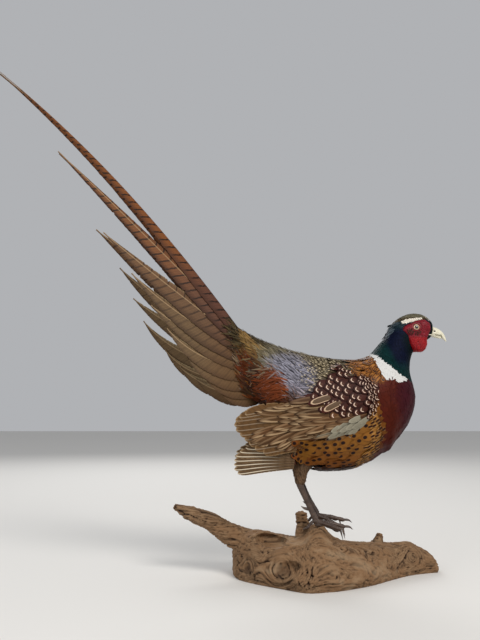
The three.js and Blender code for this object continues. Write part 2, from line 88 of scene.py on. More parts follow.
def even_mesh(piece, cell):
    remesh = piece.modifiers.new("even mesh", "REMESH")
    remesh.mode = "VOXEL"
    remesh.voxel_size = cell * MM
    return settle(piece)


def points_of(piece):
    """The piece's points in millimetres."""
    flat = np.empty(len(piece.data.vertices) * 3, np.float32)
    piece.data.vertices.foreach_get("co", flat)
    return flat.reshape(-1, 3).astype(float) / MM


def put_points(piece, points):
    piece.data.vertices.foreach_set("co", (points * MM).astype(np.float32).ravel())
    piece.data.update()


def normals_of(piece):
    flat = np.empty(len(piece.data.vertices) * 3, np.float32)
    piece.data.vertex_normals.foreach_get("vector", flat)
    return flat.reshape(-1, 3).astype(float)


def relax(piece, rounds):
    """Takes the facets out of a mesh without shrinking it."""
    points = points_of(piece)
    ends = np.empty(len(piece.data.edges) * 2, np.int32)
    piece.data.edges.foreach_get("vertices", ends)
    a, b = ends.reshape(-1, 2).T
    count = np.bincount(a, minlength=len(points)) + np.bincount(b, minlength=len(points))
    for step in range(2 * rounds):
        mean = np.stack([
            np.bincount(a, points[b, k], len(points)) + np.bincount(b, points[a, k], len(points))
            for k in range(3)
        ], 1) / np.maximum(count, 1)[:, None]
        points += (0.5 if step % 2 == 0 else -0.52) * (mean - points)
    put_points(piece, points)


def fade(value, low, high):
    """Smooth step from 0 at low to 1 at high."""
    t = np.clip((value - low) / (high - low), 0, 1)
    return t * t * (3 - 2 * t)


def noise_at(points, scale):
    """Smooth noise at points divided by a scale for each axis."""
    scaled = points / np.asarray(scale, float)
    return np.array([noise.noise(p) for p in scaled.tolist()])


def keep_attribute(piece, name, values):
    """Keeps a number, a vector or a colour for each point of a piece."""
    kinds = {1: ("FLOAT", "value"), 3: ("FLOAT_VECTOR", "vector"), 4: ("FLOAT_COLOR", "color")}
    kind, field = kinds[values.size // len(piece.data.vertices)]
    attribute = piece.data.attributes.new(name, kind, "POINT")
    attribute.data.foreach_set(field, np.ascontiguousarray(values, np.float32).ravel())


def linear(code):
    """A colour code like c8a070 as linear RGBA."""
    parts = [int(code[i:i + 2], 16) / 255 for i in (0, 2, 4)]
    return [c / 12.92 if c <= 0.04045 else ((c + 0.055) / 1.055) ** 2.4 for c in parts] + [1.0]


def ink(code):
    return np.array(linear(code)[:3])


def mixed(one, other, share):
    """One colour turned into another by a share for each point, clipped to 0..1."""
    return one + (other - one) * np.clip(share, 0, 1)[..., None]


def node(tree, kind, inputs=(), **settings):
    """A node of a kind, with settings, and inputs given as sockets or values."""
    made = tree.nodes.new(kind)
    for key, value in settings.items():
        setattr(made, key, value)
    for key, value in dict(inputs).items():
        if isinstance(value, bpy.types.NodeSocket):
            tree.links.new(value, made.inputs[key])
        else:
            made.inputs[key].default_value = value
    return made


class Finish:
    """A material painted in layers over its first colour. Shares are numbers or sockets, 0 to 1."""

    def __init__(self, name, roughness, specular=0.5, first=None):
        self.material = bpy.data.materials.new(name)
        self.material.use_nodes = True
        self.tree = self.material.node_tree
        self.shader = self.tree.nodes["Principled BSDF"]
        self.set("Roughness", roughness)
        self.set("Specular IOR Level", specular)
        self.colour = first and linear(first)

    def set(self, name, value):
        self.shader.inputs[name].default_value = value

    def node(self, kind, inputs=(), **settings):
        return node(self.tree, kind, inputs, **settings)

    def calc(self, operation, *values):
        return self.node("ShaderNodeMath", enumerate(values), operation=operation).outputs[0]

    def times(self, first, *others):
        for other in others:
            first = self.calc("MULTIPLY", first, other)
        return first

    def rise(self, value, low, high):
        """0 at low and 1 at high, smooth between; low may lie above high."""
        inputs = {"Value": value, "From Min": low, "From Max": high}
        return self.node("ShaderNodeMapRange", inputs, interpolation_type="SMOOTHSTEP").outputs[0]

    def band(self, value, low, high, soft):
        """1 between low and high, with soft edges."""
        into = self.rise(value, low - soft, low + soft)
        return self.times(into, self.rise(value, high + soft, high - soft))

    def kept(self, name, output="Fac"):
        """What a mesh attribute says."""
        return self.node("ShaderNodeAttribute", attribute_name=name).outputs[output]

    def parts(self, name):
        """The three parts of a vector attribute."""
        return self.node("ShaderNodeSeparateXYZ", {"Vector": self.kept(name, "Vector")}).outputs

    def place(self):
        return self.node("ShaderNodeTexCoord").outputs["Object"]

    def noise(self, scale, detail=3.0, roughness=0.55, source=None):
        """Noise with a scale for each axis, over the object unless another source is given."""
        mapping = self.node("ShaderNodeMapping", {"Vector": source or self.place(), "Scale": scale})
        inputs = {"Vector": mapping.outputs[0], "Scale": 1.0, "Detail": detail, "Roughness": roughness}
        return self.node("ShaderNodeTexNoise", inputs).outputs[0]

    def paint(self, code, *shares):
        """Lays a colour over what is there, by the product of the shares."""
        inputs = {0: self.times(*shares), 6: self.colour, 7: linear(code)}
        self.colour = self.node("ShaderNodeMix", inputs, data_type="RGBA").outputs[2]
        self.tree.links.new(self.colour, self.shader.inputs["Base Color"])

    def bump(self, height, strength, distance):
        made = self.node("ShaderNodeBump", {"Height": height, "Strength": strength, "Distance": distance})
        self.tree.links.new(made.outputs[0], self.shader.inputs["Normal"])


def dress(piece, finish, slot, *nodes):
    """Smooths a piece, gives it its finish, and says what it rides on and which CAD nodes it stands for.
    The slot is not used."""
    piece.data.polygons.foreach_set("use_smooth", np.ones(len(piece.data.polygons), bool))
    piece.data.materials.append(finish.material)
    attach(piece, "root")
    if nodes:
        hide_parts(*nodes)


driftwood = even_mesh(merged_copy("driftwood_grain", ["driftwood"]), WOOD_CELL)
relax(driftwood, 8)
wood = points_of(driftwood)
bend = np.stack([noise_at(wood + offset, (46, 20, 20)) for offset in (0, 40)], 1)
# Across the fibres there are two coordinates, bent by the growth of the wood and by the knots.
grain = np.c_[wood[:, 0] / 60, (wood[:, 1:] + 9 * bend) / 2.9]
for x, y, z, reach in KNOTS:
    away = np.linalg.norm((wood - [x, y, z]) * [1, 1, 1.1], axis=1)
    turn = np.exp(-((away / reach) ** 2))[:, None]
    ring = np.stack([0 * away + x / 60, away / 2.6, 0 * away + 3], 1)
    grain = grain * (1 - turn) + ring * turn
fibres = noise_at(grain, 1.0) + 0.5 * noise_at(grain * [2.0, 2.2, 2.2] + 7, 1.0)
splits = fade(-np.abs(noise_at(grain * [0.5, 0.3, 0.3] + 31, 1.0)), -0.07, 0.0)
splits *= fade(noise_at(wood, (60, 30, 30)), -0.05, 0.2)
pits = fade(noise_at(wood, (5, 3.4, 3.4)), 0.28, 0.5)
lumps = noise_at(wood, (34, 16, 14))
above = fade(wood[:, 2], 0.6, 4.0)
depth = FIBRE_DEPTH * (fibres - 0.12) + 1.7 * lumps - SPLIT_DEPTH * splits - 1.1 * pits
wood += normals_of(driftwood) * (np.clip(depth, -5.0, 1.5) * above)[:, None]
wood[:, 2] = np.maximum(wood[:, 2], 0)
for x, y, rise in FOOTHOLDS:
    swell = np.exp(-(((wood[:, 0] - x) / 13) ** 2) - ((wood[:, 1] - y) / 12) ** 2)
    wood[:, 2] += rise * swell * fade(wood[:, 2], 20, 46)
put_points(driftwood, wood)
# How deep each point lies in a groove between the fibres, a split or a pit, for the painted shade there.
keep_attribute(driftwood, "groove_shade", fade(-fibres, -0.35, 0.55) * 0.75 + splits * 0.9 + pits * 0.35)
keep_attribute(driftwood, "fibre", grain)

finish = Finish("weathered wood", 0.82, 0.25, "624730")
fine = finish.noise((0.9, 2.6, 2.6), 5.0, 0.65, finish.kept("fibre", "Vector"))
broad = finish.noise((14, 40, 40))
finish.paint("927658", finish.rise(fine, 0.3, 0.72))
finish.paint("7d5c3e", finish.rise(broad, 0.35, 0.68))
# Painted shade: the wood is darkened in the grooves between the fibres, in the splits and in the pits.
finish.paint("2c1c11", finish.rise(finish.kept("groove_shade"), 0.25, 1.15))
finish.paint("a08a6e", finish.rise(broad, 0.52, 0.66), 0.45)
finish.bump(fine, 0.5, 0.0006)
dress(driftwood, finish, "driftwood", "driftwood")

# ---------------------------------------------------------------- legs and feet
# Bare shanks and toes in one scaled skin, dried to a mauve grey. Broad scutes overlap down the
# front of the shank and the top of each toe, and the knuckles are swollen where the toes bend.
LEGS = [
    {"side": "right", "y": -1, "hip": (-33, -17, 166), "hock": (-36, -24, 117), "joint": (-17.5, -22, 74.5)},
    {"side": "left", "y": 1, "hip": (-27, 17, 166), "hock": (-31, 23, 117), "joint": (-11, 21, 75.5)},
]
# Each toe: name, reach, splay, drop, radius.
TOES = [
    ("inner", 29, -8, 13.5, 2.6), ("middle", 36, 1, 7, 2.9), ("outer", 28, 12, 8, 2.5),
    ("hind", -11, 3, 8.5, 2.1),
]
CLAW_LENGTH, SPUR_LENGTH = 10, 9
SCUTE_PITCH, SCUTE_DEPTH = 2.7, 0.42
LEG_CELL = 0.42


def curve_through(knots, count):
    """Even smooth rows through a table of rows."""
    knots = np.asarray(knots, float)
    last = len(knots) - 1
    at = np.linspace(0, last, count)
    i = np.minimum(at.astype(int), last - 1)
    t = (at - i)[:, None]
    p, q, r, s = (knots[np.clip(i + k, 0, last)] for k in (-1, 0, 1, 2))
    return q + 0.5 * t * (r - p + t * (2 * p - 5 * q + 4 * r - s + t * (3 * (q - r) + s - p)))


def skin_over(rings, ends=None):
    """Points and faces over rings of points: a tube with a point at each end, or, without ends,
    closed on itself."""
    count, around, _ = rings.shape
    size, last = count * around, (count - 1) * around
    pairs = [(k, (k + 1) % around) for k in range(around)]
    starts = range(0, size if ends is None else last, around)
    steps = [(r, (r + around) % size) for r in starts]
    faces = [(here + i, here + j, there + j, there + i) for here, there in steps for i, j in pairs]
    points = rings.reshape(-1, 3)
    if ends is not None:
        points = np.concatenate([points, ends])
        faces += [(size, j, i) for i, j in pairs] + [(size + 1, last + i, last + j) for i, j in pairs]
    return points, faces


def tube(knots, radii, around, count, scutes=0.0, upper=(0, 0, 1)):
    """Points and faces of a closed tube through knots, with scutes stepped along its upper side."""
    line = curve_through(knots, count)
    radius = curve_through(np.asarray(radii, float)[:, None], count)[:, 0]
    tangent = np.gradient(line, axis=0)
    tangent /= np.linalg.norm(tangent, axis=1)[:, None]
    side = np.cross(tangent, np.asarray(upper, float))
    side /= np.linalg.norm(side, axis=1)[:, None]
    top = np.cross(side, tangent)
    length = np.concatenate([[0], np.cumsum(np.linalg.norm(np.diff(line, axis=0), axis=1))])
    angle = 2 * math.pi * np.arange(around) / around
    saw = 1 - (length / SCUTE_PITCH) % 1
    front = fade(np.cos(angle), 0.0, 0.55)
    swell = radius[:, None] + scutes * (saw[:, None] - 0.6) * front[None, :]
    rings = line[:, None] + swell[..., None] * (
        top[:, None] * np.cos(angle)[None, :, None] + side[:, None] * np.sin(angle)[None, :, None]
    )
    return skin_over(rings, line[[0, -1]])


def piece_from(name, parts):
    """One mesh piece from (points, faces) parts in millimetres, facing outwards."""
    bm = bmesh.new()
    for points, faces in parts:
        made = [bm.verts.new(p) for p in (np.asarray(points) * MM).tolist()]
        for f in faces:
            bm.faces.new([made[i] for i in f])
    bmesh.ops.recalc_face_normals(bm, faces=bm.faces)
    mesh = bpy.data.meshes.new(name)
    bm.to_mesh(mesh)
    bm.free()
    piece = bpy.data.objects.new(name, mesh)
    bpy.context.scene.collection.objects.link(piece)
    return piece


leg_finish = Finish("leg skin", 0.5, 0.45, "38281f")
broad = leg_finish.noise((90, 90, 90))
inputs = {"Vector": leg_finish.place(), "Scale": 850.0}
scaly = leg_finish.node("ShaderNodeTexVoronoi", inputs, feature="DISTANCE_TO_EDGE").outputs[0]
leg_finish.paint("5a473b", leg_finish.rise(broad, 0.3, 0.7))
leg_finish.paint("261b15", leg_finish.rise(scaly, 0.12, 0.0))
leg_finish.bump(scaly, 0.35, 0.0002)

claw_finish = Finish("claw horn", 0.35, first="32261f")
streaks = claw_finish.noise((160, 600, 600), 2.0)
claw_finish.paint("5c4b3f", claw_finish.rise(streaks, 0.3, 0.7))

for leg in LEGS:
    hock, joint = np.array(leg["hock"], float), np.array(leg["joint"], float)
    side = leg["y"]
    foot = joint + [0, 0, 2]
    middle = (hock + foot) / 2 + [-0.6, 0, 0]
    shank = [tube([hock + [-1.2, 0, 5], hock, middle, foot], [4.0, 4.2, 3.1, 3.9], 20, 70, 0.5, (1, 0, 0.2))]
    claws = []
    for name, reach, splay, drop, radius in TOES:
        ahead = math.copysign(1, reach)
        root = joint + [0.5, splay * 0.1, 2 if name == "hind" else -1]
        tip = joint + [reach, side * splay, -drop]
        arch = [(0, 0), (0.35, 0.9), (0.5, 0.9), (0.72, 0.6), (0.9, 0), (1, 0)]
        knots = [root + (tip - root) * share + [0, 0, up] for share, up in arch]
        sizes = np.array([1.15, 0.86, 1.0, 0.8, 0.92, 0.55]) * radius
        shank.append(tube(knots, sizes, 16, 60, SCUTE_DEPTH))
        length = CLAW_LENGTH * (0.6 if name == "hind" else 1)
        aside = side * splay
        hook = name in ("inner", "outer")
        far = 1 - 0.4 * hook
        nail = [
            tip + [-ahead * 1.6, 0, 0.3],
            tip + [ahead * length * 0.25, aside * 0.04, 0.35],
            tip + [ahead * length * 0.6 * far, aside * 0.09, -0.6 - 2.6 * hook],
            tip + [ahead * length * 0.92 * far, aside * 0.14, -length * (0.34 + 0.8 * hook)],
        ]
        claws.append(tube(nail, [radius * 0.5, radius * 0.52, radius * 0.36, 0.16], 12, 12))
    ball = [tube([joint + [0, 0, 4], joint, joint + [0, 0, -3.6]], [2.4, 4.1, 2.2], 18, 12, upper=(1, 0, 0))]
    pad = [joint + [-1, 0, -4.2], joint + [4, 0, -4.6], joint + [9, 0, -5]]
    ball.append(tube(pad, [2, 3.1, 1.6], 16, 10))
    skin = even_mesh(piece_from("leg_skin_" + leg["side"], shank + ball), LEG_CELL)
    relax(skin, 1)
    dress(skin, leg_finish, "leg_skin", "shank_" + leg["side"], "foot_" + leg["side"])
    low = (hock + 2 * joint) / 3 + [-2.4, 0, 0]
    bent = ([1, 0, -0.3], [-SPUR_LENGTH * 0.5, -side * 1.3, 0.4], [-SPUR_LENGTH, -side * 2.4, 3])
    spur = [low + step for step in bent]
    claws.append(tube(spur, [2.3, 1.5, 0.2], 12, 12))
    horn = piece_from("claws_" + leg["side"], claws)
    names = [f"claw_{leg['side']}_{toe[0]}" for toe in TOES]
    dress(horn, claw_finish, "claw", "spur_" + leg["side"], *names)

# ---------------------------------------------------------------- skin of the body
# The cured skin over the manikin: one piece over head, neck, trunk, folded wing arms and thighs.
# It lies under the feathers by the depth of the coat and is stained with the colours above it.
FLESH = ["head", "neck", "trunk", "wing_left", "wing_right", "thigh_left", "thigh_right"]
SKIN_CELL = 1.9
# Lines of the back and the belly from rump to face: [back x, back z, belly x, belly z] at each station.
BODY_LINES = [
    [-112, 315, -97, 232], [-103, 308.5, -87, 220], [-81, 298, -76, 207], [-53, 287.5, -58, 171],
    [-25, 281, -30, 137], [5, 276, 4, 132], [29, 273.5, 39, 136.5], [46, 274.5, 72, 156],
    [55.5, 278, 97.5, 182], [59.5, 280.5, 110, 206], [62, 283, 113.5, 226], [65, 286.5, 110.5, 244],
    [69.5, 291.5, 108.5, 257], [75, 298.5, 109.5, 269], [80.5, 306, 112, 278], [85.5, 315, 115, 284.5],
    [91, 322.5, 119, 290], [100, 329.2, 123.5, 294], [112, 333.9, 128.5, 297], [125, 333.6, 133.5, 299.5],
    [135.5, 328.5, 138, 302], [142, 319.5, 140.5, 305.5],
]
# Outlines on the bird's side, as (x, z): the colours change across them.
RING_TOP = [
    (54, 282.5), (59, 281.5), (62, 278), (64, 274.5), (69, 269), (76, 262.5), (83, 256.5), (89, 251.6),
    (95, 247.6), (100, 245.4), (103, 244.4),
]
RING_LOW = [
    (54, 281.5), (59, 280.5), (61, 272.5), (63, 263.2), (66, 256.9), (68.4, 251.8), (72, 248.6), (79, 247),
    (84, 246), (92, 245), (103, 244.4),
]
BREAST_EDGE = [(44, 132), (54, 149), (62, 167), (64, 185), (59, 208), (53, 229), (57, 240), (68, 252)]
SCAPULARS = [
    (-36, 222), (-18, 241), (-4, 252), (6, 262), (13, 269), (19, 260), (37, 249), (52, 247), (61, 243),
    (61, 231), (57, 214), (48, 201), (26, 198), (-4, 203),
]
COVERTS = [
    (-84, 210), (-66, 217), (-38, 223), (-4, 203), (40, 200), (22, 182), (-5, 172), (-30, 166), (-58, 160),
    (-82, 162), (-92, 176), (-78, 188), (-92, 200),
]
PALE_PATCH = [(-6, 178), (4, 187), (20, 195), (40, 198), (38, 190), (24, 181), (8, 175)]
FLANK = [
    (-52, 170), (-30, 168), (-4, 175), (18, 183), (36, 196), (43, 199), (46, 184), (43, 164), (32, 148),
    (4, 138), (-24, 139), (-44, 148),
]
RUMP_GREY = [
    (-76, 268), (-60, 276), (-44, 279), (-26, 270), (-16, 258), (-16, 243), (-26, 229), (-46, 222),
    (-58, 240), (-68, 254),
]
RUMP_RUST = [
    (-98, 250), (-84, 255), (-72, 257), (-62, 251), (-55, 240), (-53, 228), (-60, 220), (-83, 218),
    (-98, 230),
]
FACE = [
    (97, 311), (101, 316), (107.5, 319), (114, 321.5), (124.5, 325), (135, 321), (135.5, 314), (131.5, 305),
    (129.8, 296), (128, 287), (119.5, 282), (111.5, 285.5), (106, 295), (104.5, 303),
]
BROW = [
    (99.5, 320), (100, 322.8), (105, 325), (114, 326), (126, 326.9), (126, 325.3), (114, 322.4),
    (105, 319.6),
]
# Where a painted highlight lies on the forehead: a pale glint in the brow's colour.
FOREHEAD_GLINT = [(129, 330.5), (133, 331.5), (139, 326.5), (139, 322.5), (135.5, 323), (132, 327)]
INKS = {
    "flank": "82541b", "flank rust": "6b3112", "belly": "22130e", "copper": "48170b", "plum": "38101a",
    "mantle": "8c5522", "scapular": "3a1811", "covert": "5c4027", "pale patch": "8a8472", "olive": "6f6751",
    "cream": "70634a", "grey": "82818f", "rust": "6c300d", "chestnut": "361808", "ring": "c9c8c5",
    "teal": "0a2c2c", "navy": "0a1026", "throat": "0a1518", "crown": "69634f", "crown low": "43371f",
    "ridge": "7a5f33", "nape": "1c2d33", "ear": "434e56", "brow": "e6ddce", "thigh": "4a3626",
    "face": "7a1220",
}
INKS = {name: ink(code) for name, code in INKS.items()}


def inside(x, z, outline, soft):
    """How far inside an outline points lie: 0 outside, 1 once soft millimetres within."""
    ring = np.asarray(outline, float)
    a, b = ring, np.roll(ring, -1, 0)
    p = np.stack([x, z], -1)[:, None]
    edge = b - a
    t = np.clip(((p - a) * edge).sum(-1) / (edge ** 2).sum(-1), 0, 1)
    gap = np.linalg.norm(p - a - t[..., None] * edge, axis=-1).min(1)
    cross = ((a[:, 1] > z[:, None]) != (b[:, 1] > z[:, None])) & (
        x[:, None] < (b[:, 0] - a[:, 0]) * (z[:, None] - a[:, 1]) / (b[:, 1] - a[:, 1] + 1e-9) + a[:, 0]
    )
    signed = np.where(cross.sum(1) % 2 == 1, gap, -gap)
    return fade(signed, -soft / 2, soft / 2)


def beyond(x, z, line):
    """Distance in front of a line given from low to high."""
    line = np.asarray(line, float)
    return x - np.interp(z, line[:, 1], line[:, 0])


def between(x, z, top, low):
    top, low = np.asarray(top, float), np.asarray(low, float)
    return np.minimum(np.interp(x, *top.T) - z, z - np.interp(x, *low.T))


def ground_at(points, bare=False):
    """The plumage's ground colour at points on the body, with the bare face too if wanted."""
    x, y, z = points.T
    wide = np.abs(y)
    ground = np.tile(INKS["flank"], (len(points), 1))

    def over(name, share):
        nonlocal ground
        ground = mixed(ground, INKS[name], share)

    over("flank rust", fade(-x, 22, 48) * fade(-z, -215, -150) + 0.5 * fade(-z, -168, -142))
    breast = beyond(x, z, BREAST_EDGE)
    over("copper", fade(breast, -3, 5) * fade(-z, -262, -250))
    over("plum", fade(breast, 14, 38) * fade(-z, -262, -250) * 0.9)
    over("plum", fade(-z, -182, -150) * fade(breast, -12, 8) * 0.8)
    over("belly", fade(-z, -152, -137) * fade(-wide, -40, -18))
    over("belly", fade(-z, -200, -165) * fade(-x, 40, 62) * 0.8)
    upper = fade(z, 236, 244) * fade(-breast, -2, 4)
    over("mantle", upper * fade(x, 22, 34))
    over("olive", fade(z, 236, 258) * fade(-x, -34, -22))
    over("cream", fade(z, 232, 250) * fade(-x, -34, -20) * fade(x, -62, -34) * 0.8)
    over("ridge", fade(-x, 66, 96) * fade(z, 262, 290))
    over("grey", inside(x, z, RUMP_GREY, 14) * 0.9)
    over("chestnut", fade(-x, 34, 50) * fade(-z, -234, -220) * fade(z, 176, 196))
    over("rust", inside(x, z, RUMP_RUST, 10))
    over("rust", fade(-x, 96, 108) * fade(-z, -292, -270) * fade(z, 232, 250) * 0.6)
    over("scapular", inside(x, z, SCAPULARS, 4))
    over("covert", inside(x, z, COVERTS, 4))
    over("pale patch", inside(x, z, PALE_PATCH, 4))
    thigh = fade(-z, -146, -138) * fade(-x, 12, 20) * fade(-wide, -40, -34)
    over("thigh", thigh)
    neck = np.interp(x, *np.asarray(RING_TOP, float).T)
    above = fade(z - neck, -0.5, 1.0) * fade(x, 50, 54)
    over("teal", above)
    over("navy", above * fade(x + 0.35 * (z - 280), 76, 88) * fade(z, 256, 276))
    over("throat", above * fade(x + 0.2 * (z - 280), 97, 110) * fade(-z, -312, -300))
    over("ring", fade(between(x, z, RING_TOP, RING_LOW), -0.3, 0.3) * fade(x, 53, 55) * fade(-x, -103, -101))
    over("nape", fade(z, 308, 318) * fade(-x, -106, -98))
    hairline = np.minimum(0.2 * (x - 84), 4)
    over("crown low", fade(z, 319 + hairline, 322 + hairline))
    over("crown", fade(z, 326.5, 328.5) * fade(-x, -137, -131))
    over("throat", fade(x, 130, 133) * fade(-z, -323, -320) * fade(z, 296, 300))
    # Painted highlight: a pale glint on the forehead, in the brow's colour.
    over("brow", inside(x, z, FOREHEAD_GLINT, 2) * fade(wide, 2, 8) * 0.45)
    over("brow", inside(x, z, BROW, 1.2) * fade(wide, 3, 6))
    if bare:
        over("face", inside(x, z, FACE, 1.5) * fade(wide, 6, 9))
    return ground


def search_form(piece):
    """The search tree and face normals of a piece that feathers are laid on."""
    normals = normals_of(piece)
    faces = [list(p.vertices) for p in piece.data.polygons]
    flat = np.array([normals[f].mean(0) for f in faces])
    flat /= np.linalg.norm(flat, axis=1)[:, None]
    return BVHTree.FromPolygons(points_of(piece).tolist(), faces), flat


def from_side(tree, x, z, side):
    """Where a level line from one side first meets a form, or None."""
    return tree.ray_cast(Vector((x, side * 150, z)), Vector((0, -side, 0)))[0]


def form_over(name, nodes, grow, cell, reach, rounds):
    """A smoothed form that feathers are laid on, over several solids."""
    piece = filled(even_mesh(merged_copy(name, nodes, grow), cell), reach)
    relax(piece, rounds)
    return piece, search_form(piece)


def filled(piece, reach):
    """Fills the grooves of the trunk that are narrower than twice the reach: swells it, joins
    what meets, and draws it back."""
    for way in (1, -1):
        points, normals = points_of(piece), normals_of(piece)
        swell = way * reach * fade(-points[:, 0], -86, -72)
        put_points(piece, points + normals * swell[:, None])
        piece = even_mesh(piece, SKIN_CELL)
        relax(piece, 10)
    return piece


skin, body_form = form_over("skin", FLESH, 0.35, SKIN_CELL, 6.5, 14)

# The coverts lie on the folded quills as well, so they have a form of their own.
QUILLS = ["secondaries_left", "secondaries_right", "primaries_left", "primaries_right"]
folded, wing_form = form_over("folded_wings", FLESH + QUILLS, 0.6, SKIN_CELL, 4.5, 14)
bpy.data.objects.remove(folded)

# The coat is 3.6 mm deep on the trunk and thins to 1 mm on the face.
points = points_of(skin)
x, y, z = points.T
depth = 3.6 - 2.0 * fade(z, 262, 292) * fade(x, 48, 60) - 0.7 * fade(x, 96, 112)
put_points(skin, points - normals_of(skin) * depth[:, None])
keep_attribute(skin, "ground", np.c_[ground_at(points, True), np.ones(len(points))])
finish = Finish("stained skin", 0.75, 0.2)
finish.colour = finish.kept("ground", "Color")
finish.paint("1a120c", finish.rise(finish.noise((220, 220, 220)), 0.25, 0.75), 0.55)
dress(skin, finish, "body_plumage", *FLESH)

# ---------------------------------------------------------------- body feathers
# Contour feathers grow in rows from the skin and lie back over one another like tiles, each a
# vane with a rounded tip. They are smallest on the head, and largest on the flanks and wings.
RING_OF_VANE = [-1, -0.5, 0, 0.5, 1]
SMALL_RING = [-1, 0, 1]
BIG_STOPS = [0, 0.3, 0.55, 0.7, 0.82, 0.92, 1]
SMALL_STOPS = [0, 0.4, 0.7, 0.9, 1]
BAKE_PATCH = 0.003
chance = np.random.default_rng(20)


def spine(station):
    """Middle of the section at a station, and its direction from belly to back."""
    row = np.array([np.interp(station, range(len(BODY_LINES)), [r[k] for r in BODY_LINES]) for k in range(4)])
    back, belly = np.array([row[0], 0, row[1]]), np.array([row[2], 0, row[3]])
    return (back + belly) / 2, (back - belly) / np.linalg.norm(back - belly)


def body_axis(station, angle):
    middle, up = spine(station)
    return middle, up * math.cos(angle) + np.array([0, -math.sin(angle), 0])


def joined(several):
    return {key: np.concatenate([roots[key] for roots in several]) for key in several[0]}


def rows_along(axis, count, first, last, pitch, reach, looseness=0.16):
    """Roots in staggered rows on lines that run along the body, each line at a fixed angle.
    What shows of a feather lies a reach behind its root, so its colour is taken there."""
    lines = []
    stations = np.linspace(first, last, 150)
    for line in range(count):
        angle = 2 * math.pi * (line + 0.5) / count
        hits, at_stations = [], []
        for s in stations:
            middle, direction = axis(s, angle)
            hit = body_form[0].ray_cast(Vector(middle), Vector(direction))[0]
            if hit is not None:
                hits.append(hit)
                at_stations.append(s)
        hits = np.array(hits)
        length = np.concatenate([[0], np.cumsum(np.linalg.norm(np.diff(hits, axis=0), axis=1))])
        steps = np.arange(pitch * (0.25 + 0.5 * (line % 2)), length[-1], pitch)
        steps = np.clip(steps + chance.uniform(-1, 1, len(steps)) * pitch * looseness, 0, length[-1])
        at, ahead, behind, seen = (
            np.stack([np.interp(steps + along, length, hits[:, k]) for k in range(3)], 1)
            for along in (0, -2, 2, -reach)
        )
        flow = ahead - behind
        flow /= np.maximum(np.linalg.norm(flow, axis=1), 1e-6)[:, None]
        station = np.interp(steps, length, at_stations)
        unwrap = np.c_[np.full(len(steps), (line + 0.5) / count), (station - first) / (last - first)]
        lines.append({"at": at, "seen": seen, "flow": flow, "station": station, "unwrap": unwrap})
    return joined(lines)


def on_side(spots, heading, side, reach, form=None):
    """Roots of feathers that show at the given (x, z) spots on one flank. heading(x, z) is the
    lie in degrees, and reach is how far the root lies ahead of what shows."""
    tree = (form or body_form)[0]
    at, flow = [], []
    spots = np.array(spots, float)
    seen = np.c_[spots[:, 0], np.full(len(spots), side * 50.0), spots[:, 1]]
    for i, (x, z) in enumerate(spots):
        lean = math.radians(heading(x, z))
        x, z = x - math.cos(lean) * reach, z - math.sin(lean) * reach
        spots[i] = x, z
        at.append(from_side(tree, x, z, side) or tree.find_nearest(Vector((x, side * 12, z)))[0])
        flow.append((math.cos(lean), 0, math.sin(lean)))
    low, high = spots.min(0), spots.max(0)
    unwrap = (spots - low) / (high - low) * [0.46, 0.96] + [0.02 if side < 0 else 0.52, 0.02]
    return {"at": np.array(at), "seen": seen, "flow": np.array(flow), "unwrap": unwrap}


def rows_on_side(outline, pitch, heading, side, reach, looseness=0.1, form=None):
    """Roots in staggered rows on one flank, whose tips lie inside an outline."""
    ring = np.asarray(outline, float)
    low, high = ring.min(0), ring.max(0)
    lean = math.radians(heading(*(low + high) / 2))
    lie, across = np.array([math.cos(lean), math.sin(lean)]), np.array([-math.sin(lean), math.cos(lean)])
    span = np.linalg.norm(high - low)
    spots = []
    for row in range(int(-span / pitch[1]), int(span / pitch[1]) + 1):
        for k in range(int(-span / pitch[0]), int(span / pitch[0]) + 1):
            spots.append((low + high) / 2 + across * row * pitch[1] + lie * (k + 0.5 * (row % 2)) * pitch[0])
    spots = np.array(spots)
    spots += chance.uniform(-1, 1, spots.shape) * looseness * np.asarray(pitch)
    spots = spots[inside(spots[:, 0], spots[:, 1], outline, 0.01) > 0.5]
    return on_side(spots, heading, side, reach, form)


def on_both(outline, pitch, heading, reach, looseness=0.1, form=None):
    return joined([rows_on_side(outline, pitch, heading, side, reach, looseness, form) for side in (-1, 1)])


def chosen(roots, keep):
    return {key: value[keep] for key, value in roots.items()}


def walk(roots, length, stops, cling, form):
    """Centre lines over the body: points, normals and lies, each (feathers, stops, 3)."""
    count = len(roots["at"])
    line = np.empty((count, len(stops), 3))
    up, lie = np.empty_like(line), np.empty_like(line)
    for i in range(count):
        point, flow, normal, last = Vector(roots["at"][i]), Vector(roots["flow"][i]), None, 0
        for r, stop in enumerate(stops):
            point = point + flow * (length[i] * (stop - last))
            last = stop
            hit, _, face, gap = form[0].find_nearest(point)
            if normal is None or gap < cling:
                point, normal = hit, Vector(form[1][face])
            flow = (flow - normal * flow.dot(normal)).normalized()
            line[i, r], up[i, r], lie[i, r] = point, normal, flow
    return line, up, lie


def outline_at(stops, base, shoulder, point):
    """Half width along a feather, 0..1: base at the quill, full at the shoulder, then the tip."""
    t = np.asarray(stops, float)
    grow = base + (1 - base) * np.sin(math.pi / 2 * np.minimum(1, t / shoulder))
    end = np.clip((t - shoulder) / (1 - shoulder), 0, 1)
    return np.maximum(grow * (1 - end ** point) ** 0.5, 0.07), end


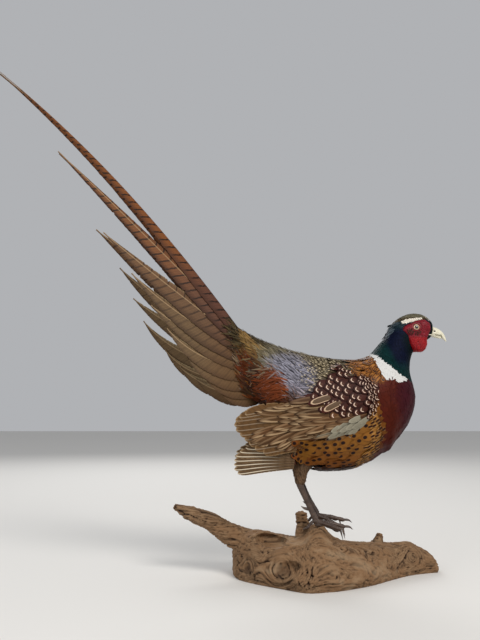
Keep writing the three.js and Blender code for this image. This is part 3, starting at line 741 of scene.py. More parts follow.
def vanes_from(name, rings, finish, fields, unwrap, slot, *nodes):
    """One piece of many closed vanes, dressed. rings is (feathers, stops, ring, 3) in millimetres,
    fields are what each point keeps, and unwrap is where it lies on the flat."""
    count, stops, around, _ = rings.shape
    k = np.arange(around)
    after = (k + 1) % around
    start = (np.arange(stops - 1) * around)[:, None]
    quads = np.stack([start + k, start + around + k, start + around + after, start + after], -1)
    quads = quads.reshape(-1, 4)
    ladder = np.array([[i, i + 1, around - 2 - i, around - 1 - i] for i in range(around // 2 - 1)])
    quads = np.concatenate([quads, ladder, ladder[:, ::-1] + (stops - 1) * around])
    faces = (quads[None] + (np.arange(count) * stops * around)[:, None, None]).reshape(-1, 4)
    mesh = bpy.data.meshes.new(name)
    mesh.vertices.add(count * stops * around)
    mesh.vertices.foreach_set("co", (rings * MM).astype(np.float32).ravel())
    mesh.loops.add(faces.size)
    mesh.loops.foreach_set("vertex_index", faces.astype(np.int32).ravel())
    mesh.polygons.add(len(faces))
    mesh.polygons.foreach_set("loop_start", np.arange(0, faces.size, 4, dtype=np.int32))
    mesh.update(calc_edges=True)
    mesh.validate()
    piece = bpy.data.objects.new(name, mesh)
    bpy.context.scene.collection.objects.link(piece)
    dress(piece, finish, slot, *nodes)
    mesh.set_sharp_from_angle(angle=math.radians(70))
    for key, values in fields.items():
        keep_attribute(piece, key, values)
    layer = mesh.uv_layers.new(name="OFBake")
    layer.data.foreach_set("uv", unwrap.reshape(-1, 2)[faces.ravel()].astype(np.float32).ravel())


def coat(name, roots, length, width, finish, ground=None, sink=3.0, stand=0.4, sway=7, camber=0.16,
         small=False, shape=(0.45, 0.6, 2.0), thick=0.25, cling=2.2, shade=0.12, curl=0.0, lay=1.4,
         form=None):
    """Builds one tract of feathers. Lengths and widths are one number or one for each, the ground
    is a colour or one for each. They lie on the body, or on another form given as its search tree
    and face normals. A feather rises from its root and lies down toward its tip, more closely the
    higher its lay. It sinks and stands so many millimetres under and over the form."""
    form = form or body_form
    count = len(roots["at"])
    stops, columns = (SMALL_STOPS, SMALL_RING) if small else (BIG_STOPS, RING_OF_VANE)
    stops, columns = np.array(stops), np.array(columns, float)
    length = length * chance.uniform(0.9, 1.1, count)
    width = width * chance.uniform(0.92, 1.08, count)
    turn = np.radians(chance.normal(0, sway, count))
    flow = roots["flow"].copy()
    normal = np.array([form[1][form[0].find_nearest(Vector(p))[2]] for p in roots["at"]])
    flow -= normal * (flow * normal).sum(1)[:, None]
    flow /= np.linalg.norm(flow, axis=1)[:, None]
    flow = flow * np.cos(turn)[:, None] + np.cross(normal, flow) * np.sin(turn)[:, None]
    line, up, lie = walk({"at": roots["at"], "flow": flow}, length, stops, cling, form)
    across = np.cross(up, lie)
    across /= np.linalg.norm(across, axis=2)[..., None]
    full, end = outline_at(stops, *shape)
    half = full * width[:, None] / 2
    risen = (sink + stand * chance.uniform(0.4, 1.5, count))[:, None]
    lift = risen * (1 - (1 - stops) ** lay) - sink + curl * chance.normal(0, 1, count)[:, None] * stops ** 2
    q = columns[:, None]
    wide = half[..., None, None]
    high = lift[..., None, None] - camber * wide * q ** 2
    top = line[:, :, None] + across[:, :, None] * q * wide + up[:, :, None] * high
    below = (line + up * (lift - thick)[..., None])[:, :, None]
    rings = np.concatenate([top, below], 2)
    rim = np.c_[np.hypot(columns * full[:, None], end[:, None]), end]
    ring = np.append(columns, 0)
    vane = np.empty(rings.shape)
    hand = np.where(roots["at"][:, 1] > 0, -1, 1)
    vane[..., 0] = ring * half[..., None] * hand[:, None, None]
    vane[..., 1] = ((1 - stops) * length[:, None])[..., None]
    vane[..., 2] = rim[None]
    ground = ground_at(roots["seen"]) if ground is None else ground
    ground = np.clip(ground * (1 + chance.normal(0, shade, (count, 1))), 0.001, 1)
    tint = np.c_[ground, chance.uniform(0, 1, count)][:, None, None, :]
    tint = np.broadcast_to(tint, (*rings.shape[:3], 4))
    unwrap = np.empty((*rings.shape[:3], 2))
    unwrap[..., 0] = roots["unwrap"][:, None, None, 0] + ring * BAKE_PATCH / 2
    unwrap[..., 1] = roots["unwrap"][:, None, None, 1] + (stops - 0.5)[None, :, None] * BAKE_PATCH
    vanes_from(name, rings, finish, {"vane": vane, "ground": tint}, unwrap, "body_plumage")


class FeatherFinish(Finish):
    """A feather material over its ground colour. Across is the distance from the shaft, down the
    bird, from_tip the distance to the tip, rim is 1 at the edge, and luck is each feather's own."""

    def __init__(self, name, roughness=0.62, specular=0.12, metallic=0.0, streak=0.06):
        super().__init__(name, roughness, specular)
        self.set("Metallic", metallic)
        self.across, self.from_tip, self.rim = self.parts("vane")
        self.colour, self.luck = self.kept("ground", "Color"), self.kept("ground", "Alpha")
        barb = self.calc("ADD", self.from_tip, self.times(self.calc("ABSOLUTE", self.across), 0.8))
        streaks = self.calc("SINE", self.times(barb, 9.0))
        self.paint("0d0806", self.calc("ADD", streaks, 1.0), streak)

    def oval(self, centre, wide, long, soft):
        """1 inside an oval on the vane, its centre so far from the tip."""
        a = self.calc("DIVIDE", self.across, wide)
        b = self.calc("DIVIDE", self.calc("SUBTRACT", self.from_tip, centre), long)
        away = self.calc("SQRT", self.calc("ADD", self.times(a, a), self.times(b, b)))
        return self.rise(away, 1 + soft, 1 - soft)


def tract_masks(roots):
    """Which tract of the trunk each feather belongs to, by where it shows."""
    x, y, z = roots["seen"].T
    wide = np.abs(y)
    loose = x + chance.normal(0, 5, len(x))
    line = np.interp(x, *np.asarray(RING_LOW, float).T)
    above_ring = (z > line - 0.2) & (x > 54)
    wing = [inside(x, z, outline, 0.1) > 0.5 for outline in (SCAPULARS, COVERTS, PALE_PATCH, FLANK)]
    leg = (np.hypot(x + 33, wide - 20) < 18) & (z < 147) | (z < 129)
    free = ~((wing[0] | wing[1] | wing[2] | wing[3]) & (wide > 22)) & ~above_ring & ~leg
    breast = beyond(x, z, BREAST_EDGE)
    masks = {"breast": free & (breast > 0) & (z < 266)}
    masks["mantle"] = free & ~masks["breast"] & (z > 234) & (x > 20)
    masks["streak"] = free & ~masks["breast"] & ~masks["mantle"] & (breast > -21) & (x > 30)
    masks["back"] = free & ~masks["mantle"] & (z > 232) & (loose <= 20) & (loose > -36)
    masks["rear"] = free & (loose <= -26) & ((z > 186) | (x < -56))
    taken = masks["breast"] | masks["mantle"] | masks["streak"] | masks["back"] | masks["rear"]
    masks["flank"] = free & ~taken
    return masks


def tract(name, *rows):
    """The feathers of one tract, from rows along the body."""
    roots = rows_along(body_axis, *rows)
    return chosen(roots, tract_masks(roots)[name])


# Breast: coppery brown at the sides and plum in front, smooth, with faint dark edges.
finish = FeatherFinish("breast feather", 0.52, 0.07, 0.12)
finish.paint("1c0a0c", finish.rise(finish.rim, 0.6, 1.0), finish.rise(finish.luck, 0.0, 1.0), 0.22)
coat("breast_feathers", tract("breast", 78, 0.6, 11.9, 4.5, 10), 15, 8.6, finish, stand=0.1, camber=0.02,
     thick=0.06, shade=0.05, sway=5, lay=2.8)

# Mantle: orange gold, each feather with black sides that run into wavy lines.
finish = FeatherFinish("barred mantle feather", 0.5, 0.15)
finish.paint("9c672e", finish.rise(finish.rim, 0.5, 0.3))
sides = finish.band(finish.rim, 0.66, 0.88, 0.08)
finish.paint("140a05", sides, finish.rise(finish.from_tip, 0.8, 1.8), 0.95)
finish.paint("1d0e06", finish.oval(5.5, 0.7, 3.2, 0.3), 0.8)
coat("mantle_feathers", tract("mantle", 62, 4.0, 11.9, 8.4, 12, 0.3), 20, 7.2, finish, stand=0.2,
     camber=0.06, lay=2, thick=0.12)

# Back: small olive feathers with fine cream scallops on a dark ground.
finish = FeatherFinish("scalloped back feather")
finish.paint("2b2318", finish.rise(finish.rim, 0.75, 0.4), 0.75)
scallop = finish.band(finish.rim, 0.44, 0.66, 0.06)
finish.paint("b5a688", scallop, finish.rise(finish.from_tip, 5.6, 4.2), 0.85)
finish.paint("2c2319", finish.rise(finish.rim, 0.72, 0.9), 0.7)
coat("back_feathers", tract("back", 104, 2.2, 8.5, 3.6, 8, 0.3), 12, 4.6, finish, stand=0.2, sway=12,
     camber=0.1, thick=0.12, shape=(0.5, 0.5, 1.5))

# Flank: golden feathers, each with a round blackish spot just inside its tip.
finish = FeatherFinish("spotted flank feather", 0.5, 0.15)
finish.paint("5a2a10", finish.rise(finish.rim, 0.7, 1.0), 0.3)
fringe = finish.rise(finish.calc("SINE", finish.times(finish.across, 4.2)), 0.2, 1.0)
finish.paint("4d2208", fringe, 0.16)
finish.paint("1c0b08", finish.oval(4.2, 2.2, 2.7, 0.25))
coat("belly_feathers", tract("flank", 50, 0.6, 9.8, 7.0, 14), 20, 9.5, finish, stand=0.15, camber=0.03,
     shade=0.07, thick=0.08, lay=2.4)
flank_rows = on_both(FLANK, (10.5, 6.0), lambda x, z: 187 + 0.1 * (x - 20), 17, 0.14)
coat("flank_feathers", flank_rows, 26, 11.6, finish, stand=0.5, camber=0.02, shade=0.06, thick=0.08, cling=4,
     sway=5, lay=2.4)

# Shoulder streaks: buff feathers with a dark dash, between the wing and the breast.
finish = FeatherFinish("streaked shoulder feather", 0.55)
finish.paint("b08a55", finish.band(finish.rim, 0.62, 0.9, 0.12), 0.45)
finish.paint("2a1109", finish.oval(3.0, 1.4, 3.0, 0.25))
streak_rows = tract("streak", 70, 4, 10.5, 6.4, 12)
to_breast = beyond(*streak_rows["seen"].T[[0, 2]], BREAST_EDGE)
streak_ink = mixed(ink("8a5c26"), INKS["copper"], fade(to_breast, -9, 0))
coat("shoulder_feathers", streak_rows, 16, 5.8, finish, streak_ink, stand=0.3, camber=0.06, lay=2)

# Rump: loose hair-like plumes, lavender grey at the sides, olive along the ridge, and a soft
# rust tuft that lies over the root of the tail.
finish = FeatherFinish("rump plume", 0.7, 0.2)
finish.paint("b5b2b4", finish.rise(finish.from_tip, 2.5, 0.0), finish.rise(finish.luck, 0.5, 1.0), 0.35)
# The plumes lie over the roots of the tail feathers too.
TAIL_SOLIDS = [f"tail_{label}_{pair}" for label in ("right", "left") for pair in range(1, 10)]
tail_base, tail_form = form_over("tail_base", FLESH + TAIL_SOLIDS, 0.6, 2.4, 6, 20)
bpy.data.objects.remove(tail_base)
rear = tract("rear", 108, 0.02, 5.2, 3.3, 9, 0.45)
rump_length = 17 + 11 * fade(-rear["seen"][:, 0], 72, 98)
coat("rump_plumes", rear, rump_length, 2.0, finish, form=tail_form, sway=13, stand=0.9, camber=0.3,
     small=True, shape=(0.6, 0.4, 1.3), curl=0.5, shade=0.25)


def tail_side_lie(x, z):
    """Plumes at the end of the rump lie along the tail feathers that they cover."""
    return 180 - np.interp(z, [222, 250, 275, 300], [-4, 16, 34, 50])


TAIL_ROOT_SIDE = [
    (-92, 300), (-104, 311), (-112, 306), (-114, 280), (-112, 250), (-108, 228), (-98, 218), (-90, 226),
    (-88, 270),
]
over_tail = on_both(TAIL_ROOT_SIDE, (3.4, 1.9), tail_side_lie, 13, 0.4, tail_form)
x, y, z = over_tail["seen"].T
root_ink = mixed(INKS["chestnut"], INKS["ridge"], fade(z, 255, 290) * 0.8 + chance.normal(0, 0.15, len(z)))
root_ink = mixed(root_ink, INKS["rust"], fade(z, 235, 252) * fade(-z, -286, -268) * fade(-x, 92, 100) * 0.8)
coat("tail_root_plumes", over_tail, 26, 2.4, finish, root_ink, sway=9, stand=2.2, sink=1.0, camber=0.3,
     small=True, shape=(0.6, 0.3, 1.2), curl=0.8, shade=0.25, form=tail_form, cling=3)
RUST_TUFT = [(-99, 256), (-84, 259), (-68, 257), (-58, 240), (-58, 226), (-68, 220), (-88, 217), (-100, 230)]
tuft = on_both(RUST_TUFT, (4.2, 1.9), lambda x, z: 186 + 0.5 * (z - 236), 12, 0.5)
coat("rust_tuft", tuft, 22, 2.3, finish, form=tail_form, sway=12, stand=2.4, sink=1.5, camber=0.3,
     small=True, shape=(0.6, 0.35, 1.2), curl=0.8, shade=0.22)

# Scapulars: maroon feathers over the shoulder, each with a cream crescent inside a dark rim.
finish = FeatherFinish("scapular feather", 0.55, 0.12)
crescent = (finish.band(finish.rim, 0.5, 0.62, 0.05), finish.rise(finish.from_tip, 6.4, 5.0))
finish.paint("6a4a34", finish.oval(5.2, 1.2, 2.6, 0.4), 0.3)
finish.paint("dcc2ad", *crescent, finish.rise(finish.across, -3.9, -1.0))
finish.paint("120705", finish.rise(finish.rim, 0.72, 0.98), 0.75)


def scapular_lie(x, z):
    return 194 + 0.12 * (x - 10)


BIG_SCAPULARS = [
    (-36, 222), (-18, 240), (2, 254), (20, 256), (34, 244), (44, 232), (48, 216), (44, 203), (26, 198),
    (-4, 203),
]
shoulder = on_both(BIG_SCAPULARS, (10.6, 5.6), scapular_lie, 15)
size = 1 - 0.3 * fade(shoulder["seen"][:, 0], 10, 50) - 0.15 * fade(shoulder["seen"][:, 2], 240, 265)
coat("scapular_feathers", shoulder, 20 * size, 12.0 * size, finish, sink=2.6, sway=5, stand=0.3, camber=0.1)

# Smaller ones run on over the shoulder to the mantle.
SHOULDER_EDGE = [
    (0, 258), (6, 264), (13, 271), (19, 261), (37, 250), (52, 248), (61, 246), (58, 239), (65, 231),
    (58, 222), (61, 213), (53, 206), (48, 199), (43, 204), (45, 218), (41, 232), (32, 244), (18, 254),
]
edge_rows = on_both(SHOULDER_EDGE, (7.0, 3.8), scapular_lie, 10, 0.15)
edge_ink = ground_at(edge_rows["seen"])
in_front = fade(edge_rows["seen"][:, 0] + chance.normal(0, 2.5, len(edge_ink)), 54, 63)
edge_ink = mixed(edge_ink, INKS["copper"], in_front * 0.8)
coat("shoulder_edge_feathers", edge_rows, 16, 8.6, finish, edge_ink, sink=2.0, sway=6, stand=0.35,
     camber=0.08, cling=4)

# The longest scapulars lie over the wing: a grey-brown middle with a pale line inside a dark rim.
finish = FeatherFinish("long scapular feather", 0.55, 0.12)
finish.paint("584534", finish.rise(finish.rim, 0.66, 0.5))
finish.paint("c3a88a", finish.band(finish.rim, 0.58, 0.72, 0.06))
LONG_SCAPULARS = [(-13.5, 220.5), (0, 212.5)]
long_rows = [
    on_side(LONG_SCAPULARS, lambda x, z: 198 + 11 * (x > -10), side, 12, wing_form) for side in (-1, 1)
]
coat("long_scapulars", joined(long_rows), 28, 9.6, finish, INKS["scapular"], sink=0.6, sway=3, stand=3.8,
     shape=(0.5, 0.55, 1.7), form=wing_form, cling=6)

# Wing coverts: long narrow buff feathers with cream edges, and painted shade in dark brown along the very
# edge of each, where the gaps between them lie.
finish = FeatherFinish("wing covert feather")
finish.paint("2a1b0f", finish.rise(finish.calc("ABSOLUTE", finish.across), 1.3, 0.2), 0.45)
edge = finish.band(finish.rim, 0.5, 0.85, 0.12)
lower = finish.calc("MULTIPLY_ADD", finish.rise(finish.across, -0.4, 1.4), 0.7, 0.3)
finish.paint("a98e6c", edge, finish.rise(finish.luck, -0.3, 0.6), lower, 0.85)
# Painted shade: the very edge of each covert is darkened for the gap between feathers.
finish.paint("24160d", finish.rise(finish.rim, 0.88, 1.0), 0.8)


def covert_lie(x, z):
    return 183 + 20 * float(fade(np.float64(206 - z), 0, 34))


wing_rows = on_both(COVERTS, (27, 3.9), covert_lie, 30, 0.35, wing_form)
coat("wing_coverts", wing_rows, 47, 7.8, finish, sink=1.6, sway=3, stand=1.2, shape=(0.5, 0.5, 1.5),
     shade=0.2, form=wing_form, cling=4)
patch_rows = on_both(PALE_PATCH, (8, 4.4), lambda x, z: 205, 12, 0.2, wing_form)
plain = FeatherFinish("pale covert feather")
plain.paint("a8a28f", plain.rise(plain.rim, 0.6, 0.95), 0.4)
coat("pale_coverts", patch_rows, 22, 7.6, plain, INKS["pale patch"], sink=1.8, stand=1.6, sway=3,
     camber=0.08, shade=0.05, shape=(0.5, 0.5, 1.5), form=wing_form, lay=2)

# Loose rust feathers of the rear flank lie over the roots of the primaries.
REAR_FLANK = [(-22, 168), (-24, 149), (-34, 145), (-42, 148), (-46, 154), (-46, 165), (-38, 169)]
rear_flank = on_both(REAR_FLANK, (8.5, 5.0), lambda x, z: 184, 12, 0.25, wing_form)
finish = FeatherFinish("rear flank feather", 0.6)
finish.paint("1c0b08", finish.oval(4.0, 2.2, 2.6, 0.3))
rear_ink = mixed(INKS["flank rust"], INKS["flank"], fade(rear_flank["seen"][:, 0], -52, -30))
coat("rear_flank_feathers", rear_flank, 21, 10.5, finish, rear_ink, sink=2.0, stand=1.5, sway=6, camber=0.05,
     lay=2, thick=0.1, shape=(0.5, 0.5, 1.5), form=wing_form, cling=5)


# Thighs: short brown feathers down to the hock, in rings round the drumstick.
def thigh_axis(leg):
    hip, hock = leg["hip"], leg["hock"]

    def axis(station, angle):
        middle = np.array(hock, float) + (np.array(hip, float) - hock) * station
        return middle, np.array([math.cos(angle), math.sin(angle), 0])

    return axis


finish = FeatherFinish("thigh feather", 0.7)
finish.paint("8a7156", finish.rise(finish.rim, 0.6, 1.0), 0.3)
thighs = [rows_along(thigh_axis(leg), 20, 0.1, 0.62, 4.2, 3, 0.25) for leg in LEGS]
for i, (leg, rows) in enumerate(zip(LEGS, thighs)):
    rows["unwrap"][:, 0] = rows["unwrap"][:, 0] / 2 + (0.5 if leg["y"] > 0 else 0)
    middle = np.array(leg["hock"]) + (np.array(leg["hip"]) - leg["hock"]) * rows["station"][:, None]
    away = np.linalg.norm((rows["at"] - middle)[:, :2], axis=1)
    thighs[i] = chosen(rows, away < 8 + 20 * rows["station"])
coat("thigh_feathers", joined(thighs), 11, 4.6, finish, INKS["thigh"], sink=1.6, stand=0.9, small=True,
     curl=0.3, shade=0.2)

# Neck: tiny glossy feathers, green at the nape and blue to violet below the ear.
finish = FeatherFinish("glossy neck feather", 0.6, 0.05, 0.15)
finish.paint("03090c", finish.rise(finish.rim, 0.75, 1.0), 0.35)
neck_rows = rows_along(body_axis, 74, 8.4, 16.4, 2.3, 4)
x, y, z = neck_rows["seen"].T
wide = np.abs(y)
line = np.interp(x, *np.asarray(RING_TOP, float).T)
on_face = (inside(x, z, FACE, 0.1) > 0.5) & (wide > 8)
is_neck = (z > line) & (x > 54) & ~on_face
coat("neck_feathers", chosen(neck_rows, is_neck), 6.6, 3.6, finish, small=True, sink=1.4, stand=0.08, sway=4,
     camber=0.04, thick=0.08, shade=0.14, lay=2)

# Collar: a smooth band of short white feathers that tapers away in front.
white = FeatherFinish("white ring feather", 0.75, 0.2, 0.0, 0.0)
ring_rows = rows_along(body_axis, 110, 7.4, 12.4, 1.9, 3.4)
x, y, z = ring_rows["seen"].T
is_ring = (between(x, z, RING_TOP, RING_LOW) > 0.9 * fade(x, 88, 100) - 0.5) & (x > 54) & (x < 99.5)
ring_length = 7.8 - 4.0 * fade(ring_rows["seen"][is_ring, 0], 84, 98)
coat("ring_feathers", chosen(ring_rows, is_ring), ring_length, 5.2, white, INKS["ring"], small=True,
     sink=0.5, stand=0.2, sway=2, camber=0.03, thick=0.05, shade=0.01, lay=2)

# ---------------------------------------------------------------- head
# The crown is olive with a white brow, and slate-blue tufts stand out behind the ears. The bare
# face is thick red skin with fine papillae and folds into lids, the eye is a glass globe, and
# the bill is two horn sheaths with a hooked tip.
finish = FeatherFinish("head feather", 0.55)
finish.paint("15140d", finish.rise(finish.rim, 0.7, 1.0), 0.25)
head_rows = rows_along(body_axis, 74, 16.0, 20.97, 1.6, 2.2)
x, y, z = head_rows["seen"].T
keep = (inside(x, z, FACE, 0.1) < 0.5) | (np.abs(y) < 8)
coat("head_feathers", chosen(head_rows, keep), 4.0, 1.7, finish, small=True, sink=0.9, stand=0.12, sway=5,
     thick=0.08)
brow_rows = on_both(BROW, (1.8, 0.9), lambda x, z: 186, 1.6, 0.3)
coat("brow_feathers", brow_rows, 4.0, 1.5, finish, INKS["brow"], small=True, sink=0.5, stand=0.4, sway=3,
     thick=0.08, shade=0.05)


def tuft_lie(x, z):
    return np.interp(z, [300, 312, 322], [236, 214, 183])


UPPER_TUFT = [(82, 321.5), (92, 322.5), (94, 318.5), (84, 318)]
LOWER_TUFT = [(82.5, 313.5), (88, 313), (84.5, 306), (79, 300), (76.5, 302.5), (80, 309)]
tuft_rows = joined([on_both(outline, (2.4, 1.1), tuft_lie, 6, 0.4) for outline in (UPPER_TUFT, LOWER_TUFT)])
tuft_ink = mixed(INKS["ear"], INKS["nape"], fade(tuft_rows["seen"][:, 2], 306, 320) * 0.5)
coat("ear_tufts", tuft_rows, 11, 1.6, finish, tuft_ink, small=True, sink=0.6, stand=1.1, sway=6, thick=0.1,
     shade=0.3, cling=0.35, shape=(0.5, 0.4, 1.3))

# Face skin: papillae are planted over an even mesh of the pad, thickest on the cheek.
SIDES = ((-1, "right"), (1, "left"))
EYE_AT = np.array([116.3, 14.4, 314.0])
EYE_RADIUS, EYE_OPENING = 5.4, 3.9
FACE_CELL = 0.5
PAPILLA = 0.46
LOBE_CREASE = 303.0


def papillae_tree():
    """Plants small round papillae on a skin, as thickly as its density attribute says."""
    tree = bpy.data.node_groups.new("papillae", "GeometryNodeTree")
    face = tree.interface
    face.new_socket("Geometry", in_out="INPUT", socket_type="NodeSocketGeometry")
    for name, kind in (("Spacing", "Float"), ("Radius", "Float"), ("Skin", "Material")):
        face.new_socket(name, in_out="INPUT", socket_type="NodeSocket" + kind)
    face.new_socket("Geometry", in_out="OUTPUT", socket_type="NodeSocketGeometry")
    source = tree.nodes.new("NodeGroupInput")
    result = tree.nodes.new("NodeGroupOutput")
    density = node(tree, "GeometryNodeInputNamedAttribute", {"Name": "papillae"}, data_type="FLOAT")
    inputs = {"Mesh": source.outputs["Geometry"], "Distance Min": source.outputs["Spacing"],
              "Density Max": 2.2e6, "Seed": 5}
    planted = node(tree, "GeometryNodeDistributePointsOnFaces", inputs, distribute_method="POISSON")
    tree.links.new(density.outputs[0], planted.inputs["Density Factor"])
    ball = node(tree, "GeometryNodeMeshIcoSphere", {"Radius": source.outputs["Radius"], "Subdivisions": 1})
    size = node(tree, "FunctionNodeRandomValue", {"Seed": 7}, data_type="FLOAT")
    size.inputs[2].default_value, size.inputs[3].default_value = 0.55, 1.15
    inputs = {"Points": planted.outputs["Points"], "Instance": ball.outputs["Mesh"],
              "Rotation": planted.outputs["Rotation"], "Scale": size.outputs[1]}
    spread = node(tree, "GeometryNodeInstanceOnPoints", inputs)
    real = node(tree, "GeometryNodeRealizeInstances", {"Geometry": spread.outputs["Instances"]})
    smooth = node(tree, "GeometryNodeSetShadeSmooth", {"Geometry": real.outputs["Geometry"]})
    whole = tree.nodes.new("GeometryNodeJoinGeometry")
    tree.links.new(source.outputs["Geometry"], whole.inputs[0])
    tree.links.new(smooth.outputs[0], whole.inputs[0])
    inputs = {"Geometry": whole.outputs[0], "Material": source.outputs["Skin"]}
    dressed = node(tree, "GeometryNodeSetMaterial", inputs)
    tree.links.new(dressed.outputs[0], result.inputs[0])
    return tree


def set_input(modifier, name, value):
    sockets = modifier.node_group.interface.items_tree
    modifier[next(s.identifier for s in sockets if s.name == name and s.in_out == "INPUT")] = value


face_finish = Finish("red face skin", 0.5, 0.22, "670815")
face_finish.set("Subsurface Weight", 0.12)
face_finish.set("Subsurface Radius", (0.8, 0.2, 0.1))
face_finish.set("Subsurface Scale", 0.0012)
blotch = face_finish.noise((260, 260, 260))
grainy = face_finish.noise((1200, 1200, 1200), 2.0)
lobe, lid, raised = face_finish.parts("face")
face_finish.paint("7f0f20", face_finish.rise(blotch, 0.3, 0.7))
face_finish.paint("8a0a12", lobe)
# Painted shade: the skin is darker where it sinks into folds, creases and the groove round the lid.
face_finish.paint("4c0611", face_finish.rise(raised, 0.1, -0.5), 0.6)
face_finish.paint("b04550", face_finish.rise(grainy, 0.55, 0.7), 0.22)
face_finish.paint("8c5450", lid, 0.7)
face_finish.bump(grainy, 0.4, 0.0002)

bristle_finish = FeatherFinish("face bristle", 0.6)
papillae = papillae_tree()
for side, label in SIDES:
    face = even_mesh(merged_copy("face_skin_" + label, ["wattle_" + label]), FACE_CELL)
    relax(face, 8)
    pad = points_of(face)
    x, out, z = pad[:, 0], side * pad[:, 1], pad[:, 2]
    outer = fade(out, 12, 15)
    from_eye = np.hypot(x - EYE_AT[0], z - EYE_AT[2])
    within = np.clip(2 * inside(x, z, FACE, 18) - 1, 0, 1)
    drop = 3.0 * (1 - within) ** 1.6 + 1.5 * (1 - fade(from_eye, 3.6, 8.0))
    crease = LOBE_CREASE + 1.6 * np.sin((x - 104) / 6)
    fold = -0.6 * np.exp(-(((z - crease) / 1.3) ** 2)) * (0.6 + 1.2 * noise_at(pad, (9, 9, 9)))
    fold += 0.55 * np.exp(-(((from_eye - 5.4) / 0.7) ** 2)) - 0.5 * np.exp(-(((from_eye - 6.9) / 0.55) ** 2))
    ripples = 0.42 * noise_at(pad, (2.4, 8, 5.5)) + 0.3 * noise_at(pad + 50, (1.6, 5, 1.6))
    pad[:, 1] = side * (out + outer * (fold + ripples - drop))
    # The lobe on the left is drawn up a little shorter than the one on the right.
    pad[:, 2] += (side > 0) * 2.2 * fade(-z, -300, -288)
    put_points(face, pad)
    in_lobe = fade(-z, -LOBE_CREASE - 1, -LOBE_CREASE + 5)
    lids = np.exp(-(((from_eye - 5.0) / 1.0) ** 2)) * fade(z, 311, 315) * 0.6
    keep_attribute(face, "face", np.stack([in_lobe, lids, fold + ripples], 1))
    keep_attribute(face, "papillae", outer * (1 - 0.55 * in_lobe) * fade(from_eye, 5.2, 6.2))
    dress(face, face_finish, "face_skin", "wattle_" + label)
    pad_form = search_form(face)
    planting = face.modifiers.new("papillae", "NODES")
    planting.node_group = papillae
    set_input(planting, "Spacing", 1.0 * MM)
    set_input(planting, "Radius", PAPILLA * MM)
    set_input(planting, "Skin", face_finish.material)
    settle(face)

    # Rows of short dark bristles curve behind and below the eye.
    at, flow, unwrap = [], [], []
    for row, reach in enumerate((5.8, 6.9, 8.0, 9.1, 10.2, 11.3)):
        behind = np.arange(184 + 3 * row, 246 - 4 * row, 62 / reach)
        below = np.arange(272, 338 - 10 * row, 70 / reach) if row < 4 else []
        for turn in (*behind, *below):
            a = math.radians(turn + chance.normal(0, 6))
            away = reach + chance.normal(0, 0.45)
            px, pz = EYE_AT[0] + math.cos(a) * away, EYE_AT[2] + math.sin(a) * away
            hit = from_side(pad_form[0], px, pz, side)
            if hit is not None:
                at.append(hit)
                flow.append((-0.8, 0, -0.6))
                unwrap.append((0.1 + 0.04 * (px - 90) / 2, 0.1 + 0.03 * (pz - 290)))
    roots = {"at": np.array(at), "flow": np.array(flow), "unwrap": np.array(unwrap), "seen": np.array(at)}
    coat("bristles_" + label, roots, 2.8, 1.05, bristle_finish, ink("2b2118"), small=True, sink=0.2,
         stand=0.35, sway=16, thick=0.08, form=pad_form, shade=0.3)

# Eyes: glass globes with a clear bulge in front, in lids that are soft rings of skin notched by
# fine beads along the edge.
GLOBE_RINGS, GLOBE_AROUND = 30, 44
CLEAR_BULGE = 0.3
LID_AROUND, LID_SECTION, LID_BEADS = 104, 10, 26
eye_finish = Finish("glass eye", 0.06, 0.6, "c2a47c")
eye_finish.set("Coat Weight", 1.0)
eye_finish.set("Coat Roughness", 0.03)
from_pupil = eye_finish.kept("from_pupil")
flecks = eye_finish.noise((1500, 1500, 1500))
eye_finish.paint("dccbac", eye_finish.rise(flecks, 0.35, 0.65))
for code, low, high in (("8a5f38", 2.75, 2.4), ("050404", 2.2, 2.0), ("2a1a12", 3.3, 3.6)):
    eye_finish.paint(code, eye_finish.rise(from_pupil, low, high))
for side, label in SIDES:
    tilt = np.linspace(0, math.pi, GLOBE_RINGS + 1)[1:-1]
    turn = 2 * math.pi * np.arange(GLOBE_AROUND) / GLOBE_AROUND
    away = EYE_RADIUS * np.sin(tilt)
    deep = EYE_RADIUS * np.cos(tilt) + CLEAR_BULGE * np.exp(-((away / 2.6) ** 2)) * (tilt < 1.5)
    globe = np.stack([
        EYE_AT[0] + away[:, None] * np.cos(turn),
        side * (EYE_AT[1] + deep[:, None] + 0 * turn),
        EYE_AT[2] + away[:, None] * np.sin(turn),
    ], -1)
    poles = EYE_AT * [1, side, 1] + np.outer([EYE_RADIUS + CLEAR_BULGE, -EYE_RADIUS], [0, side, 0])
    eye = piece_from("eye_globe_" + label, [skin_over(globe, poles)])
    placed = points_of(eye)
    keep_attribute(eye, "from_pupil", np.where(
        side * placed[:, 1] > EYE_AT[1], np.hypot(placed[:, 0] - EYE_AT[0], placed[:, 2] - EYE_AT[2]), 6.0))
    dress(eye, eye_finish, "eye", "eye_" + label)

    turn = 2 * math.pi * np.arange(LID_AROUND) / LID_AROUND
    bead = 1 + 0.14 * np.cos(LID_BEADS * turn)
    a = 2 * math.pi * np.arange(LID_SECTION) / LID_SECTION
    open_radius = EYE_OPENING - 0.1 + 0.75 * np.cos(a)[None, :] * bead[:, None]
    height = EYE_AT[1] + 3.75 + 0.6 * np.sin(a)[None, :] * bead[:, None]
    ring = np.stack([
        EYE_AT[0] + open_radius * np.cos(turn)[:, None] * 1.04,
        side * height,
        EYE_AT[2] + open_radius * np.sin(turn)[:, None] * np.where(np.sin(turn) > 0, 0.7, 0.88)[:, None],
    ], -1)
    lid = piece_from("eyelid_" + label, [skin_over(ring)])
    keep_attribute(lid, "face", np.tile([0.0, 0.8, 0.2], (LID_AROUND * LID_SECTION, 1)))
    dress(lid, face_finish, "face_skin")

